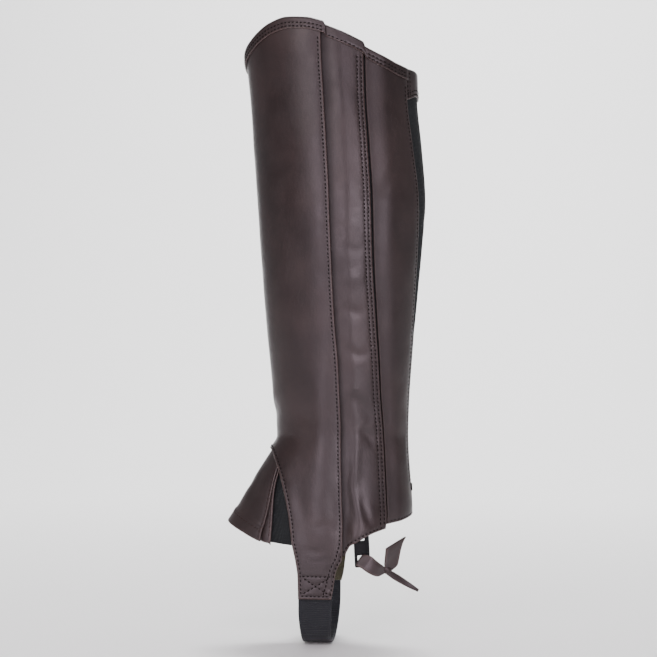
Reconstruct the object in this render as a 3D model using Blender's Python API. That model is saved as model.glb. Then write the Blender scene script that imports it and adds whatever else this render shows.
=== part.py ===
"""A leather half chap for the left leg, filled out as if worn.

Units are metres, +Z is up, the toe points to -X and the outer side faces -Y.
The origin is on the leg's axis at the widest part of the calf.

Every piece of leather or elastic is a wall laid on one smooth leg form. A place
on the form is an angle round the leg and a height above the ground. The angle
is in degrees: 0 at the shin, 90 on the outer side, 180 at the back of the calf,
and below 0 on the inner side. One degree is close to one millimetre of cloth.
Heights, offsets and wall thicknesses are in millimetres.
"""
import math
from collections import namedtuple

import bmesh
import bpy
from mathutils import Matrix, Vector
from mathutils.geometry import delaunay_2d_cdt

MM = 0.001

# Height of the origin above the ground
HOLD_HEIGHT = 360.0

# Walls
LEATHER = 1.8
LIGHT_LEATHER = 1.6
BINDING = 1.0
ELASTIC = 1.4
TAPE = 0.8
STRAP = 1.6

# Clearances: between edges that meet, and between layers that lap
SEAM = 0.35
LAYER = 0.6

# Offsets of the outer faces from the leg form
TUCKED = -LEATHER - LAYER
TAPE_OUTER = TUCKED - LIGHT_LEATHER - 0.5

# Laps and bindings
LAP = 7.0
BAND_DEPTH = 9.6
CAP_DEPTH = 25.0
CAP_EDGE = 154.2
BAND_SLOT = 0.3
PANEL_DROP = BINDING + 2 * BAND_SLOT

# Mesh: one column of the pattern, and one row below and above the ankle
COLUMN = 9.0
ANKLE = 190.0
LOW_ROW = 8.0
HIGH_ROW = 13.0

# The leg form. Shin and calf are the places on X of its front and back, middle
# is where it is widest, and half is half of that width.
Section = namedtuple("Section", "height shin calf middle half")
FORM = [
    Section(30, -112.0, 52.0, -6.0, 38.5),
    Section(80, -102.0, 54.0, -5.0, 37.5),
    Section(106, -86.7, 57.2, -4.0, 36.8),
    Section(128, -74.2, 56.0, -3.0, 36.2),
    Section(154, -57.6, 54.3, -2.0, 36.0),
    Section(164, -51.4, 54.0, -1.5, 36.0),
    Section(176, -51.9, 54.2, -1.0, 36.6),
    Section(192, -53.8, 54.8, -1.0, 38.0),
    Section(232, -57.8, 57.9, 0.0, 41.5),
    Section(272, -61.4, 61.6, 0.0, 45.5),
    Section(312, -64.4, 65.4, 0.0, 49.5),
    Section(352, -67.2, 68.2, 0.0, 52.0),
    Section(392, -69.8, 65.4, -2.0, 52.0),
    Section(432, -72.8, 61.4, -5.0, 51.0),
    Section(470, -77.0, 60.4, -8.0, 50.5),
    Section(505, -80.5, 60.4, -10.0, 50.0),
]

# Upright edges: the angle at each height
At = namedtuple("At", "height angle")
SHELL_EDGE = [
    At(38, 91.8), At(50.5, 93.8), At(57.5, 94.6), At(63.4, 96.6), At(70, 99.7), At(90, 99.1),
    At(116, 97.3), At(150, 95.6), At(199, 93.4), At(259, 88.9), At(308, 87.2), At(367, 86.0),
    At(409, 86.4), At(456, 87.2), At(495, 88.4),
]
GUARD_EDGE = [
    At(90, 134.9), At(115, 133.8), At(150, 133.5), At(199, 128.2), At(259, 120.8),
    At(308, 116.2), At(367, 113.9), At(409, 114.3), At(490, 116.8),
]
ELASTIC_EDGE = [
    At(123, 179.0), At(128, 175.2), At(136, 173.6), At(172, 173.6), At(198, 172.8),
    At(229, 170.6), At(259, 167.6), At(289, 164.8), At(315, 162.6), At(345, 159.3),
    At(369, 157.0), At(393, 154.8), At(425, 153.6), At(460, 153.2),
]
FLARE_EDGE = [At(80, 54.0), At(109, 50.1), At(137, 43.4), At(160, 37.0)]
STRIP_EDGE = [At(78, 60.2), At(86, 59.3), At(112, 52.6), At(137, 45.4), At(160, 39.0)]
FRONT_SEAM = -30.0
BACK_SEAM = 179.7

# The tops and hems: the height at each angle
Line = namedtuple("Line", "angle height")
TOP_FRONT = [
    Line(-40, 453), Line(-20, 458), Line(0, 466), Line(15, 471.5), Line(30, 478), Line(39, 482.6),
    Line(52.4, 488.9), Line(66, 492.3), Line(79, 491.4), Line(91.5, 487.4),
]
TOP_GUARD = [Line(90, 486.0), Line(104.4, 478.6), Line(117, 471.5)]
TOP_REAR = [Line(116, 469.8), Line(131.5, 461.5), Line(143, 456.8), Line(155, 454.0)]
TOP_CAP = [Line(152, 454.6), Line(165, 454.0), Line(195, 450.2), Line(210, 448.0)]
TOP_INNER = [Line(-155, 448.0), Line(-120, 443.0), Line(-90, 442.0), Line(-60, 446.0), Line(-28, 454.6)]
GUARD_HEM = [
    Line(99.7, 70), Line(103.8, 76.5), Line(105.5, 80), Line(109, 81.9), Line(116, 86.4),
    Line(123.4, 89.9), Line(135.1, 92.9),
]
REAR_HEM = [Line(134, 95.2), Line(151, 98.0), Line(170.7, 100.8), Line(180, 101.6)]
INNER_HEM = [
    Line(-180, 101.6), Line(-170.7, 100.8), Line(-151, 98.0), Line(-135, 94.4), Line(-123.4, 90.2),
    Line(-116, 87), Line(-109, 81.9), Line(-105.5, 80), Line(-103.8, 76.5), Line(-99.7, 70),
]
FLARE_HEM = [Line(0, 97), Line(10, 96.2), Line(23.6, 93.7), Line(38.6, 88.9), Line(54.3, 81.8), Line(61, 79.8)]
GUSSET_HEM = [Line(52, 82.4), Line(61, 81.4), Line(71.6, 79.6), Line(80, 78.6)]

# The arch over the foot, from the shin down the front of a strap tab
ARCH = [
    Line(0, 154.5), Line(12, 154.2), Line(21.5, 152.8), Line(35, 147.1), Line(45.9, 138.8),
    Line(53.5, 129.7), Line(60, 118.1), Line(65.3, 105), Line(69.3, 91.8), Line(71.9, 79.4),
    Line(74.3, 67), Line(75.7, 55.7), Line(76.5, 38),
]
TAB_END = 38.0
INNER_TAB_END = 43.5

# Folded hem of the flare
HEM_FOLD = 12.0
HEM_STEP = 1.1
HEM_RISE = 1.2

# The zip and its pull
ZIP_INSET = 17.0
CHAIN_WIDTH = 5.6
CHAIN_DEPTH = 2.4
TAPE_TOP = 452.0
TAPE_END = 88.0
TAPE_RISE = 12.0
SLIDER_WIDTH = 9.6
SLIDER_TOP = 101.0
PIVOT_HEIGHT = 88.0
PIVOT_OFFSET = -2.2
PULL_WIDTH = 11.4
PULL_THICK = 1.6
PULL_DROP = 25.0
PULL_TILT = 3.0
PULL_BAR = 0.8
BRIDGE_WIDTH = 2.8

# Slots of the pull tab: width, and lowest and highest height from the hinge
PULL_SLOTS = [(6.0, -5.0, -PULL_BAR), (9.0, -19.8, -15.5)]

# Side views of the slider's body and bridge: distance towards the leg, and height
SLIDER_BODY = [
    (1.2, 0.8), (1.2, 10.5), (2.1, 13.0), (3.8, 13.0), (4.4, 11.5), (4.4, -1.5), (3.8, -2.8), (2.4, -2.8),
]
SLIDER_BRIDGE = [
    (2.7, -2.5), (-1.7, -2.5), (-2.4, -1.8), (-2.4, 7.5), (-0.4, 10.2), (1.8, 10.2),
    (1.8, 9.0), (0.1, 9.0), (-1.2, 7.1), (-1.2, -1.3), (2.7, -1.3),
]

# The thong from the tip of one tail, through its knot and the pull's lower slot, and
# back to the tip of the other. Places are from the hinge: X along it, Y towards the
# leg, Z up. The width lies along wx, wy, wz, and cut slants the end.
THONG_THICK = 1.4
Stop = namedtuple("Stop", "x y z width wx wy wz cut")
THONG = [
    Stop(26.2, -1.4, -5.9, 15.5, -1.0, 0.0, 0.0, 6.0),
    Stop(24.4, -1.6, -12.0, 14.0, -1.0, 0.0, 0.1, 0.0),
    Stop(22.9, -1.4, -19.0, 12.6, -1.0, 0.0, 0.15, 0.0),
    Stop(21.8, -1.2, -23.6, 9.2, -0.93, 0.0, 0.37, 0.0),
    Stop(19.4, -1.1, -26.6, 5.0, -0.5, 0.0, 0.87, 0.0),
    Stop(15.5, -1.2, -27.4, 7.0, 0.0, 0.0, 1.0, 0.0),
    Stop(10.5, -1.6, -25.8, 11.0, 0.35, 0.0, 0.94, 0.0),
    Stop(5.6, -1.95, -22.6, 11.0, 0.62, 0.0, 0.78, 0.0),
    Stop(2.2, -2.0, -20.3, 9.0, 0.85, 0.0, 0.52, 0.0),
    Stop(1.7, -1.6, -18.4, 7.4, 0.95, 0.0, 0.32, 0.0),
    Stop(1.6, 0.0, -17.7, 6.8, 0.95, 0.0, 0.32, 0.0),
    Stop(1.7, 1.6, -18.4, 7.4, 0.95, 0.0, 0.32, 0.0),
    Stop(2.2, 2.0, -20.3, 9.0, 0.85, 0.0, 0.52, 0.0),
    Stop(5.6, 1.95, -22.8, 11.0, 0.62, 0.0, 0.78, 0.0),
    Stop(10.5, 1.6, -26.0, 11.0, 0.35, 0.0, 0.94, 0.0),
    Stop(15.5, 1.2, -27.6, 7.0, 0.0, 0.0, 1.0, 0.0),
    Stop(19.4, 1.1, -28.0, 5.0, 0.1, 0.0, 1.0, 0.0),
    Stop(23.4, 0.9, -29.6, 6.5, 0.2, -0.5, 0.8, 0.0),
    Stop(29.5, 0.6, -33.3, 9.0, 0.15, -0.9, 0.42, 0.0),
    Stop(37.0, 0.3, -38.2, 11.0, 0.1, -0.95, 0.28, 0.0),
    Stop(44.0, 0.0, -43.3, 12.0, 0.05, -1.0, 0.16, 0.0),
]

# The strap under the boot, from inside the outer tab to outside the inner one
STRAP_FRONT = -30.4
STRAP_BACK = -4.0
Bend = namedtuple("Bend", "y height")
STRAP_LINE = [
    Bend(-34.7, 58), Bend(-34.9, 48), Bend(-35.2, 38), Bend(-34.8, 28), Bend(-32.6, 18), Bend(-27, 9),
    Bend(-18, 3.2), Bend(-6, 0.9), Bend(6, 0.9), Bend(18, 3), Bend(28.5, 8.6), Bend(35.2, 17.6),
    Bend(38.6, 28), Bend(39.6, 38), Bend(39.6, 48), Bend(39.3, 60),
]


def smooth(rows, x):
    """Monotone cubic through the rows, each a pair of x and value."""
    last = len(rows) - 1
    if x <= rows[0][0]:
        return rows[0][1]
    if x >= rows[last][0]:
        return rows[last][1]
    step = [rows[i + 1][0] - rows[i][0] for i in range(last)]
    slope = [(rows[i + 1][1] - rows[i][1]) / step[i] for i in range(last)]
    tangent = [slope[0]]
    for i in range(1, last):
        before, after = slope[i - 1], slope[i]
        if before * after <= 0:
            tangent.append(0.0)
        else:
            near = 2 * step[i] + step[i - 1]
            far = step[i] + 2 * step[i - 1]
            tangent.append((near + far) / (near / before + far / after))
    tangent.append(slope[-1])
    i = max(k for k in range(last) if rows[k][0] <= x)
    t = (x - rows[i][0]) / step[i]
    rise = t * t * (3 - 2 * t)
    value = rows[i][1] * (1 - rise) + rows[i + 1][1] * rise
    value += step[i] * tangent[i] * t * (1 - t) ** 2
    value -= step[i] * tangent[i + 1] * t * t * (1 - t)
    return value


def ramp(x, start, end):
    """Smooth step from 0 at start to 1 at end."""
    t = min(1.0, max(0.0, (x - start) / (end - start)))
    return t * t * (3 - 2 * t)


def bump(x, centre, width):
    return math.exp(-0.5 * ((x - centre) / width) ** 2)


SHIN = [(s.height, s.shin) for s in FORM]
CALF = [(s.height, s.calf) for s in FORM]
MIDDLE = [(s.height, s.middle) for s in FORM]
HALF = [(s.height, s.half) for s in FORM]


def form_point(angle, height):
    """Point of the leg form, in millimetres above the ground."""
    turn = math.radians(angle)
    middle = smooth(MIDDLE, height)
    if math.cos(turn) > 0:
        reach = middle - smooth(SHIN, height)
    else:
        reach = smooth(CALF, height) - middle
    return Vector((middle - reach * math.cos(turn), -smooth(HALF, height) * math.sin(turn), height))


def on_leg(angle, height, offset=0.0):
    """Point at an offset outside the leg form, in metres from the origin."""
    nudge = 0.05
    around = form_point(angle + nudge, height) - form_point(angle - nudge, height)
    up = form_point(angle, height + nudge) - form_point(angle, height - nudge)
    point = form_point(angle, height) + offset * around.cross(up).normalized()
    point.z -= HOLD_HEIGHT
    return point * MM


def shell_edge(height):
    return smooth(SHELL_EDGE, height)


def guard_edge(height):
    return smooth(GUARD_EDGE, height)


def elastic_edge(height):
    return smooth(ELASTIC_EDGE, height)


def rear_edge_front(height):
    """Front edge of the rear panel, clear of the guard by a line of zip tape."""
    return guard_edge(height) + 0.8 + 2.6 * ramp(height, 460, 100)


def zip_line(height):
    return guard_edge(height) - ZIP_INSET - 4.0 * ramp(height, 300, 110)


def top_line(angle):
    if angle < FRONT_SEAM:
        return smooth(TOP_INNER, angle)
    if angle <= 90.7:
        return smooth(TOP_FRONT, angle)
    if angle <= 116.6:
        return smooth(TOP_GUARD, angle)
    if angle <= 153.5:
        return smooth(TOP_REAR, angle)
    return smooth(TOP_CAP, angle)


# Outer faces of the pieces: the offset from the form at each place
def shell_face(angle, height):
    return 0.0


def guard_face(angle, height):
    """Tucked under the shell, then rising to a bulge over the zip slider."""
    clear = ramp(angle - shell_edge(height), 0.5, 14.0)
    close = ramp(angle - shell_edge(height), 0.5, 8.5)
    bulge = 3.5 * bump(angle, zip_line(PIVOT_HEIGHT), 13.0) * bump(height, 88.0, 15.0)
    return TUCKED + (-TUCKED - 0.4) * clear + bulge * close


def rear_face(angle, height):
    return TUCKED * (1 - ramp(angle - rear_edge_front(height), 1.0, 16.0))


def inner_face(angle, height):
    return TUCKED * ramp(angle, FRONT_SEAM - 9.0, FRONT_SEAM - 0.5)


def elastic_face(angle, height):
    """Deep at its two laps, fuller between them."""
    reach = max(4.0, 180.0 - elastic_edge(height))
    fullness = 1 - ramp(abs(angle - 180.0) / reach, 0.2, 0.95)
    return TUCKED + 1.7 * fullness * ramp(height, 124.0, 140.0)


def flare_face(angle, height):
    """Raised at the folded hem, and deeper where the inner panel laps under the shell."""
    fold = smooth(FLARE_HEM, abs(angle)) + HEM_FOLD
    arch = smooth(ARCH, abs(angle))
    lap = ramp(-angle, 8.0, 17.0) * ramp(height, arch - 14.0, arch - 6.0)
    under = inner_face(angle, height) - LEATHER - LAYER - 0.4 - TUCKED
    return TUCKED + HEM_RISE * (1 - ramp(height, fold, fold + HEM_STEP)) + under * lap


def strip_face(angle, height):
    """Proud of the flare, and deeper under the shell's arch."""
    arch = smooth(ARCH, abs(angle))
    return TUCKED + 0.3 - 0.9 * ramp(height, arch - 12.0, arch - 4.0)


def gusset_face(angle, height):
    """Below the narrow strip at one side, just below the shell at the other."""
    past = abs(angle) - smooth(STRIP_EDGE, height)
    under_strip = TUCKED - LIGHT_LEATHER - LAYER - 0.7 - 0.9 * ramp(height, 126.0, 140.0)
    return under_strip - (under_strip - TUCKED) * ramp(past, -1.0, 6.0)


def tape_face(angle, height):
    return TAPE_OUTER


# The pattern grid, in columns and rows
def to_grid(angle, height):
    if height < ANKLE:
        return Vector((angle / COLUMN, height / LOW_ROW))
    return Vector((angle / COLUMN, ANKLE / LOW_ROW + (height - ANKLE) / HIGH_ROW))


def from_grid(spot):
    row_at_ankle = ANKLE / LOW_ROW
    if spot.y < row_at_ankle:
        return spot.x * COLUMN, spot.y * LOW_ROW
    return spot.x * COLUMN, ANKLE + (spot.y - row_at_ankle) * HIGH_ROW


def run(start, end, spacing):
    """Even steps from start to end, both included."""
    count = max(1, math.ceil(abs(end - start) / spacing))
    return [start + (end - start) * i / count for i in range(count + 1)]


def grid_stops(start, end):
    """The whole numbers between two places of the grid, with both ends."""
    low, high = min(start, end) + 0.35, max(start, end) - 0.35
    between = [float(i) for i in range(math.ceil(low), math.floor(high) + 1)]
    if start > end:
        between.reverse()
    return [start] + between + [end]


def angles(start, end):
    """Angles from start to end, on the columns of the pattern."""
    return [stop * COLUMN for stop in grid_stops(start / COLUMN, end / COLUMN)]


def inside(spot, ring):
    """True where a grid spot lies within the ring, clear of its edge."""
    crossings = 0
    for i, a in enumerate(ring):
        b = ring[(i + 1) % len(ring)]
        along = b - a
        t = min(1.0, max(0.0, (spot - a).dot(along) / along.length_squared))
        if (spot - a - along * t).length < 0.45:
            return False
        if (a.y > spot.y) != (b.y > spot.y):
            if spot.x < a.x + along.x * (spot.y - a.y) / along.y:
                crossings += 1
    return crossings % 2 == 1


def material(name, colour, roughness, metallic=0.0):
    finish = bpy.data.materials.get(name)
    if finish is None:
        finish = bpy.data.materials.new(name)
        finish.use_nodes = True
        shader = finish.node_tree.nodes["Principled BSDF"]
        shader.inputs["Base Color"].default_value = (*colour, 1.0)
        shader.inputs["Roughness"].default_value = roughness
        shader.inputs["Metallic"].default_value = metallic
    return finish


def leather():
    return material("brown_leather", (0.055, 0.040, 0.038), 0.45)


def black_elastic():
    return material("black_elastic", (0.012, 0.012, 0.013), 0.85)


def black_metal():
    return material("black_metal", (0.02, 0.02, 0.02), 0.35, 0.8)


def add_object(name, mesh, finish):
    mesh.materials.append(finish)
    for face in mesh.polygons:
        face.use_smooth = True
    mesh.set_sharp_from_angle(angle=math.radians(40))
    piece = bpy.data.objects.new(name, mesh)
    bpy.context.scene.collection.objects.link(piece)
    return piece


def mesh_of(name, points, faces):
    """Mesh with welded corners and faces turned outwards."""
    mesh = bpy.data.meshes.new(name)
    mesh.from_pydata(points, [], faces)
    shape = bmesh.new()
    shape.from_mesh(mesh)
    bmesh.ops.recalc_face_normals(shape, faces=shape.faces)
    shape.to_mesh(mesh)
    shape.free()
    return mesh


def panel(name, outline, face, wall, finish, guides=()):
    """A wall cut to an outline of the pattern and laid on the leg form.

    Guides are lines of points inside the outline that the mesh keeps.
    """
    ring = [to_grid(*spot) for spot in outline]
    spots = list(ring)
    edges = [(i, (i + 1) % len(ring)) for i in range(len(ring))]
    for guide in guides:
        first = len(spots)
        spots += [to_grid(*spot) for spot in guide]
        edges += [(i, i + 1) for i in range(first, len(spots) - 1)]
    kept = spots[len(ring):]
    for column in range(math.floor(min(p.x for p in ring)), math.ceil(max(p.x for p in ring))):
        for row in range(math.floor(min(p.y for p in ring)), math.ceil(max(p.y for p in ring))):
            spot = Vector((column, row))
            if inside(spot, ring) and all((spot - other).length > 0.45 for other in kept):
                spots.append(spot)
    flat, _, triangles, *_ = delaunay_2d_cdt(spots, edges, [list(range(len(ring)))], 1, 1e-6)

    places = [from_grid(spot) for spot in flat]
    outer = [on_leg(a, h, face(a, h)) for a, h in places]
    inner = [on_leg(a, h, face(a, h) - wall) for a, h in places]
    count = len(outer)
    faces = [tuple(t) for t in triangles]
    faces += [tuple(count + i for i in reversed(t)) for t in triangles]
    used = {}
    for t in triangles:
        for i, a in enumerate(t):
            b = t[(i + 1) % len(t)]
            used[(a, b)] = used.get((a, b), 0) + 1
    for a, b in used:
        if (b, a) not in used:
            faces.append((b, a, count + a, count + b))
    return add_object(name, mesh_of(name, outer + inner, faces), finish)


def sweep(name, rings, finish):
    """A closed solid through rings that all have the same number of points."""
    size = len(rings[0])
    points = [point for ring in rings for point in ring]
    faces = [tuple(range(size)), tuple(reversed(range(len(points) - size, len(points))))]
    for station in range(len(rings) - 1):
        for i in range(size):
            j = (i + 1) % size
            low = station * size
            faces.append((low + i, low + j, low + size + j, low + size + i))
    return add_object(name, mesh_of(name, points, faces), finish)


def binding(name, start, end, face, wall, depth=BAND_DEPTH):
    """A strip of leather folded over the top edge of a panel."""
    outer = BAND_SLOT + BINDING
    inner = -wall - BAND_SLOT - BINDING
    # Profile of the folded strip: drop below the top line, and offset from the panel's face
    profile = [
        (depth, outer), (depth * 0.5, outer), (1.0, outer), (0.25, outer - 0.5), (0.0, outer - 1.3),
        (0.0, inner + 1.3), (0.25, inner + 0.5), (1.0, inner), (depth * 0.5, inner), (depth, inner),
        (depth, inner + BINDING), (depth * 0.5, inner + BINDING), (BINDING + 0.2, inner + BINDING),
        (BINDING + 0.2, BAND_SLOT), (depth * 0.5, BAND_SLOT), (depth, BAND_SLOT),
    ]
    rings = []
    for angle in angles(start, end):
        top = top_line(angle)
        rings.append([on_leg(angle, top - drop, face(angle, top - drop) + out) for drop, out in profile])
    return sweep(name, rings, leather())


def heights(start, end):
    """Heights from start to end, on the rows of the pattern."""
    stops = grid_stops(to_grid(0, start).y, to_grid(0, end).y)
    return [from_grid(Vector((0, stop)))[1] for stop in stops]


def edge_points(edge, start, end, shift=0.0):
    """Points up or down an upright edge."""
    return [(edge(h) + shift, h) for h in heights(start, end)]


def upright(angle, start, end):
    return edge_points(lambda h: angle, start, end)


def line_points(line, start, end, lift=0.0):
    """Points along a top or a hem."""
    return [(a, line(a) + lift) for a in angles(start, end)]


def arch_points(first, last, shift=0.0, lift=0.0):
    """Points of the arch between two of its angles."""
    between = [(p.angle, p.height) for p in ARCH if first < p.angle < last]
    ends = [(angle, smooth(ARCH, angle)) for angle in (first, last)]
    return [(a + shift, h + lift) for a, h in [ends[0]] + between + [ends[1]]]


def flipped(points):
    """The same points on the inner side of the leg."""
    return [(-angle, height) for angle, height in points]


def make_shell():
    """The front and outer panel, which runs down into the outer strap tab."""
    top = 486.0
    outline = line_points(top_line, FRONT_SEAM, shell_edge(top), -PANEL_DROP)
    outline += edge_points(shell_edge, top - 4.0, TAB_END)
    outline += list(reversed(arch_points(0, ARCH[-1].angle)))
    outline += flipped(arch_points(0, -FRONT_SEAM))[1:]
    outline += upright(FRONT_SEAM, smooth(ARCH, -FRONT_SEAM) + 4.0, top_line(FRONT_SEAM) - 8.0)
    panel("shell_front", outline, shell_face, LEATHER, leather())


def make_guard():
    """The strip behind the shell that covers the zip, tucked under the shell's edge."""
    first, last = 91.1, 116.5
    lap_top = top_line(90.0) - BAND_DEPTH - 1.0
    outline = line_points(top_line, first, last, -PANEL_DROP)
    outline += edge_points(guard_edge, top_line(last) - 8.0, 97.0)
    outline += line_points(guard_hem, guard_edge(90.0), GUARD_HEM[0].angle + 0.3)
    outline += edge_points(shell_edge, 73.0, lap_top, -LAP)
    outline += [(first - 4.0, lap_top), (first, lap_top)]
    guides = [edge_points(shell_edge, 76.0, lap_top - 2.0, 0.5)]
    guides += [upright(zip_line(PIVOT_HEIGHT) + a, 112.0, 88.0) for a in (-5.5, 1.0, 6.5)]
    panel("zip_guard", outline, guard_face, LIGHT_LEATHER, leather(), guides)


def make_rear():
    """The rear outer panel, from the zip tape to the back elastic."""
    first, last = 118.0, elastic_edge(452.0)
    outline = line_points(top_line, first, last, -PANEL_DROP)
    outline += edge_points(elastic_edge, 443.0, ELASTIC_EDGE[0].height)
    outline += upright(BACK_SEAM, 119.0, REAR_HEM[-1].height)
    outline += line_points(rear_hem, BACK_SEAM - 8.0, rear_edge_front(96.0))
    outline += edge_points(rear_edge_front, 102.0, top_line(first) - 8.0)
    panel("panel_rear", outline, rear_face, LEATHER, leather())


def make_inner():
    """The inner panel, tucked under the shell's front seam."""
    seam = FRONT_SEAM - 0.5
    lap = FRONT_SEAM + LAP
    lap_top = top_line(seam) - BAND_DEPTH - 1.5
    lap_end = smooth(ARCH, -lap) + 1.0
    tab_front = next(a for a in run(75.0, 77.0, 0.05) if smooth(ARCH, a) <= INNER_TAB_END)
    outline = line_points(top_line, -elastic_edge(452.0), seam, -PANEL_DROP)
    outline += [(seam, lap_top)] + upright(lap, lap_top, lap_end)
    outline += flipped(arch_points(-seam, tab_front))
    outline += flipped(edge_points(shell_edge, INNER_TAB_END, 66.0))
    outline += line_points(inner_hem, INNER_HEM[-1].angle, -BACK_SEAM)
    outline += upright(-BACK_SEAM, 108.0, 119.0)
    outline += flipped(edge_points(elastic_edge, ELASTIC_EDGE[0].height, 438.0))
    fold = upright(seam - 0.2, lap_top - 1.0, smooth(ARCH, -seam) + 1.5)
    panel("panel_inner", outline, inner_face, LEATHER, leather(), [fold])


def guard_hem(angle):
    return smooth(GUARD_HEM, angle)


def rear_hem(angle):
    return smooth(REAR_HEM, angle)


def inner_hem(angle):
    return smooth(INNER_HEM, angle)


def flare_hem(angle):
    return smooth(FLARE_HEM, abs(angle))


def flare_edge(height):
    return smooth(FLARE_EDGE, height)


def strip_edge(height):
    return smooth(STRIP_EDGE, height)


def make_back_elastic():
    """The elastic wedge at the back, lapped under the panels beside it."""
    low = 118.0
    neck = top_line(360.0 - CAP_EDGE) - BAND_DEPTH - 3.0
    lap = edge_points(elastic_edge, neck, low + 6.0, 1.0 - LAP)
    near = lap + [(180.0 - LAP, low), (180.0, low)]
    shoulder = [(CAP_EDGE, neck), (CAP_EDGE, top_line(CAP_EDGE) - PANEL_DROP)]
    far_side = [(360.0 - a, h) for a, h in reversed(near[:-1])]
    far_shoulder = [(360.0 - CAP_EDGE, neck), (360.0 - CAP_EDGE, top_line(360.0 - CAP_EDGE) - PANEL_DROP)]
    crown = line_points(top_line, 360.0 - CAP_EDGE - 9.0, CAP_EDGE + 9.0, -PANEL_DROP)
    outline = list(reversed(shoulder)) + near + far_side + far_shoulder + crown
    inner_line = edge_points(elastic_edge, low + 14.0, neck - 3.0, 0.6)
    guides = [inner_line, [(360.0 - a, h) for a, h in inner_line]]
    panel("elastic_back", outline, elastic_face, ELASTIC, black_elastic(), guides)
    binding("elastic_cap", CAP_EDGE, 360.0 - CAP_EDGE, elastic_face, ELASTIC, CAP_DEPTH)


def make_bindings():
    binding("band_front", FRONT_SEAM, 90.6, shell_face, LEATHER)
    binding("band_guard", 91.1, 116.5, guard_face, LIGHT_LEATHER)
    binding("band_rear", 118.0, 153.2, rear_face, LEATHER)
    binding("band_inner", -153.2, FRONT_SEAM - 0.5, inner_face, LEATHER)


def make_flare():
    """The instep flare with its folded hem, tucked under the arch of the shell."""
    side = edge_points(flare_edge, 149.0, 88.0)
    hem = line_points(flare_hem, flare_edge(80.0), -flare_edge(80.0))
    far_side = flipped(reversed(side))
    crown = [(a, smooth(ARCH, abs(a)) + LAP + 1.0) for a in angles(-36.0, 36.0)]
    fold = line_points(flare_hem, -49.0, 49.0, HEM_FOLD)
    step = line_points(flare_hem, -49.0, 49.0, HEM_FOLD + HEM_STEP)
    panel("flare", side + hem + far_side + crown, flare_face, LIGHT_LEATHER, leather(), [fold, step])


def make_flare_ends(name, side):
    """The narrow strip and the elastic triangle at one end of the flare."""
    top = 146.0
    inner = edge_points(flare_edge, top, 86.0, 0.6)
    hem = line_points(flare_hem, flare_edge(80.0) + 0.6, strip_edge(79.0))
    outer = edge_points(strip_edge, 84.0, top)
    strip = [(side * a, h) for a, h in inner + hem + outer]
    panel(f"flare_strip_{name}", strip, strip_face, LIGHT_LEATHER, leather())

    inner = edge_points(strip_edge, 139.5, 86.0, -5.0)
    hem = [(a, smooth(GUSSET_HEM, a)) for a in angles(strip_edge(81.0) - 5.0, 71.7 + LAP - 1.0)]
    outer = list(reversed(arch_points(45.0, 70.5, LAP - 1.0, 2.0)))
    wedge = [(side * a, h) for a, h in inner + hem + outer]
    edge = [(side * a, h) for a, h in edge_points(strip_edge, 138.5, 88.0, 0.3)]
    panel(f"gusset_{name}", wedge, gusset_face, ELASTIC, black_elastic(), [edge])


def make_strap():
    """The elastic strap under the boot, sewn inside the outer tab and outside the inner one."""
    rings = []
    for i, place in enumerate(STRAP_LINE):
        before = STRAP_LINE[max(0, i - 1)]
        after = STRAP_LINE[min(len(STRAP_LINE) - 1, i + 1)]
        along = Vector((0, after.y - before.y, after.height - before.height)).normalized()
        across = Vector((0, along.z, -along.y))
        curve = ramp(place.height, 6.0, 34.0)
        near, far = [], []
        for x in run(STRAP_FRONT, STRAP_BACK, 7.0):
            # The tabs curve round the leg, and the strap follows them where it is sewn on
            part = (x - smooth(MIDDLE, 50.0)) / (smooth(MIDDLE, 50.0) - smooth(SHIN, 50.0))
            sag = curve * smooth(HALF, 50.0) * (1 - math.sqrt(1 - part * part))
            middle = Vector((x, place.y, place.height - HOLD_HEIGHT)) - across * sag
            near.append((middle - across * STRAP / 2) * MM)
            far.append((middle + across * STRAP / 2) * MM)
        rings.append(near + far[::-1])
    sweep("strap_underfoot", rings, black_elastic())


def make_zip():
    """The zip under the guard, closed, with its slider at the hem."""
    half = CHAIN_WIDTH / 2 + SEAM
    slider_half = SLIDER_WIDTH / 2 + 2 * SEAM

    def tape(name, side, far_edge):
        def near_edge(height):
            reach = slider_half if height < SLIDER_TOP + 1.5 else half
            return zip_line(height) + side * degrees(reach, zip_line(height), height)

        near = edge_points(near_edge, TAPE_TOP, SLIDER_TOP + 2.0)
        near += edge_points(near_edge, SLIDER_TOP + 1.0, TAPE_END)
        far = edge_points(far_edge, TAPE_END + TAPE_RISE, TAPE_TOP)
        panel(name, near + far, tape_face, TAPE, black_elastic())

    tape("zip_tape_front", -1, lambda h: zip_line(h) - 15.0)
    tape("zip_tape_rear", 1, lambda h: rear_edge_front(h) + LAP)

    rings = []
    middle = TAPE_OUTER - TAPE / 2
    for height in heights(SLIDER_TOP + SEAM, TAPE_TOP):
        angle = zip_line(height)
        wide = degrees(CHAIN_WIDTH / 2, angle, height)
        deep = CHAIN_DEPTH / 2
        corners = [(-wide, -0.5 * deep), (-wide, 0.5 * deep), (-0.6 * wide, deep), (0.6 * wide, deep)]
        corners += [(wide, 0.5 * deep), (wide, -0.5 * deep), (0.6 * wide, -deep), (-0.6 * wide, -deep)]
        rings.append([on_leg(angle + a, height, middle + out) for a, out in corners])
    sweep("zip_chain", rings, black_metal())


def degrees(length, angle, height):
    """The turn round the leg that a length covers at the depth of the zip."""
    return length * MM / (on_leg(angle + 1, height, TAPE_OUTER) - on_leg(angle, height, TAPE_OUTER)).length


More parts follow.
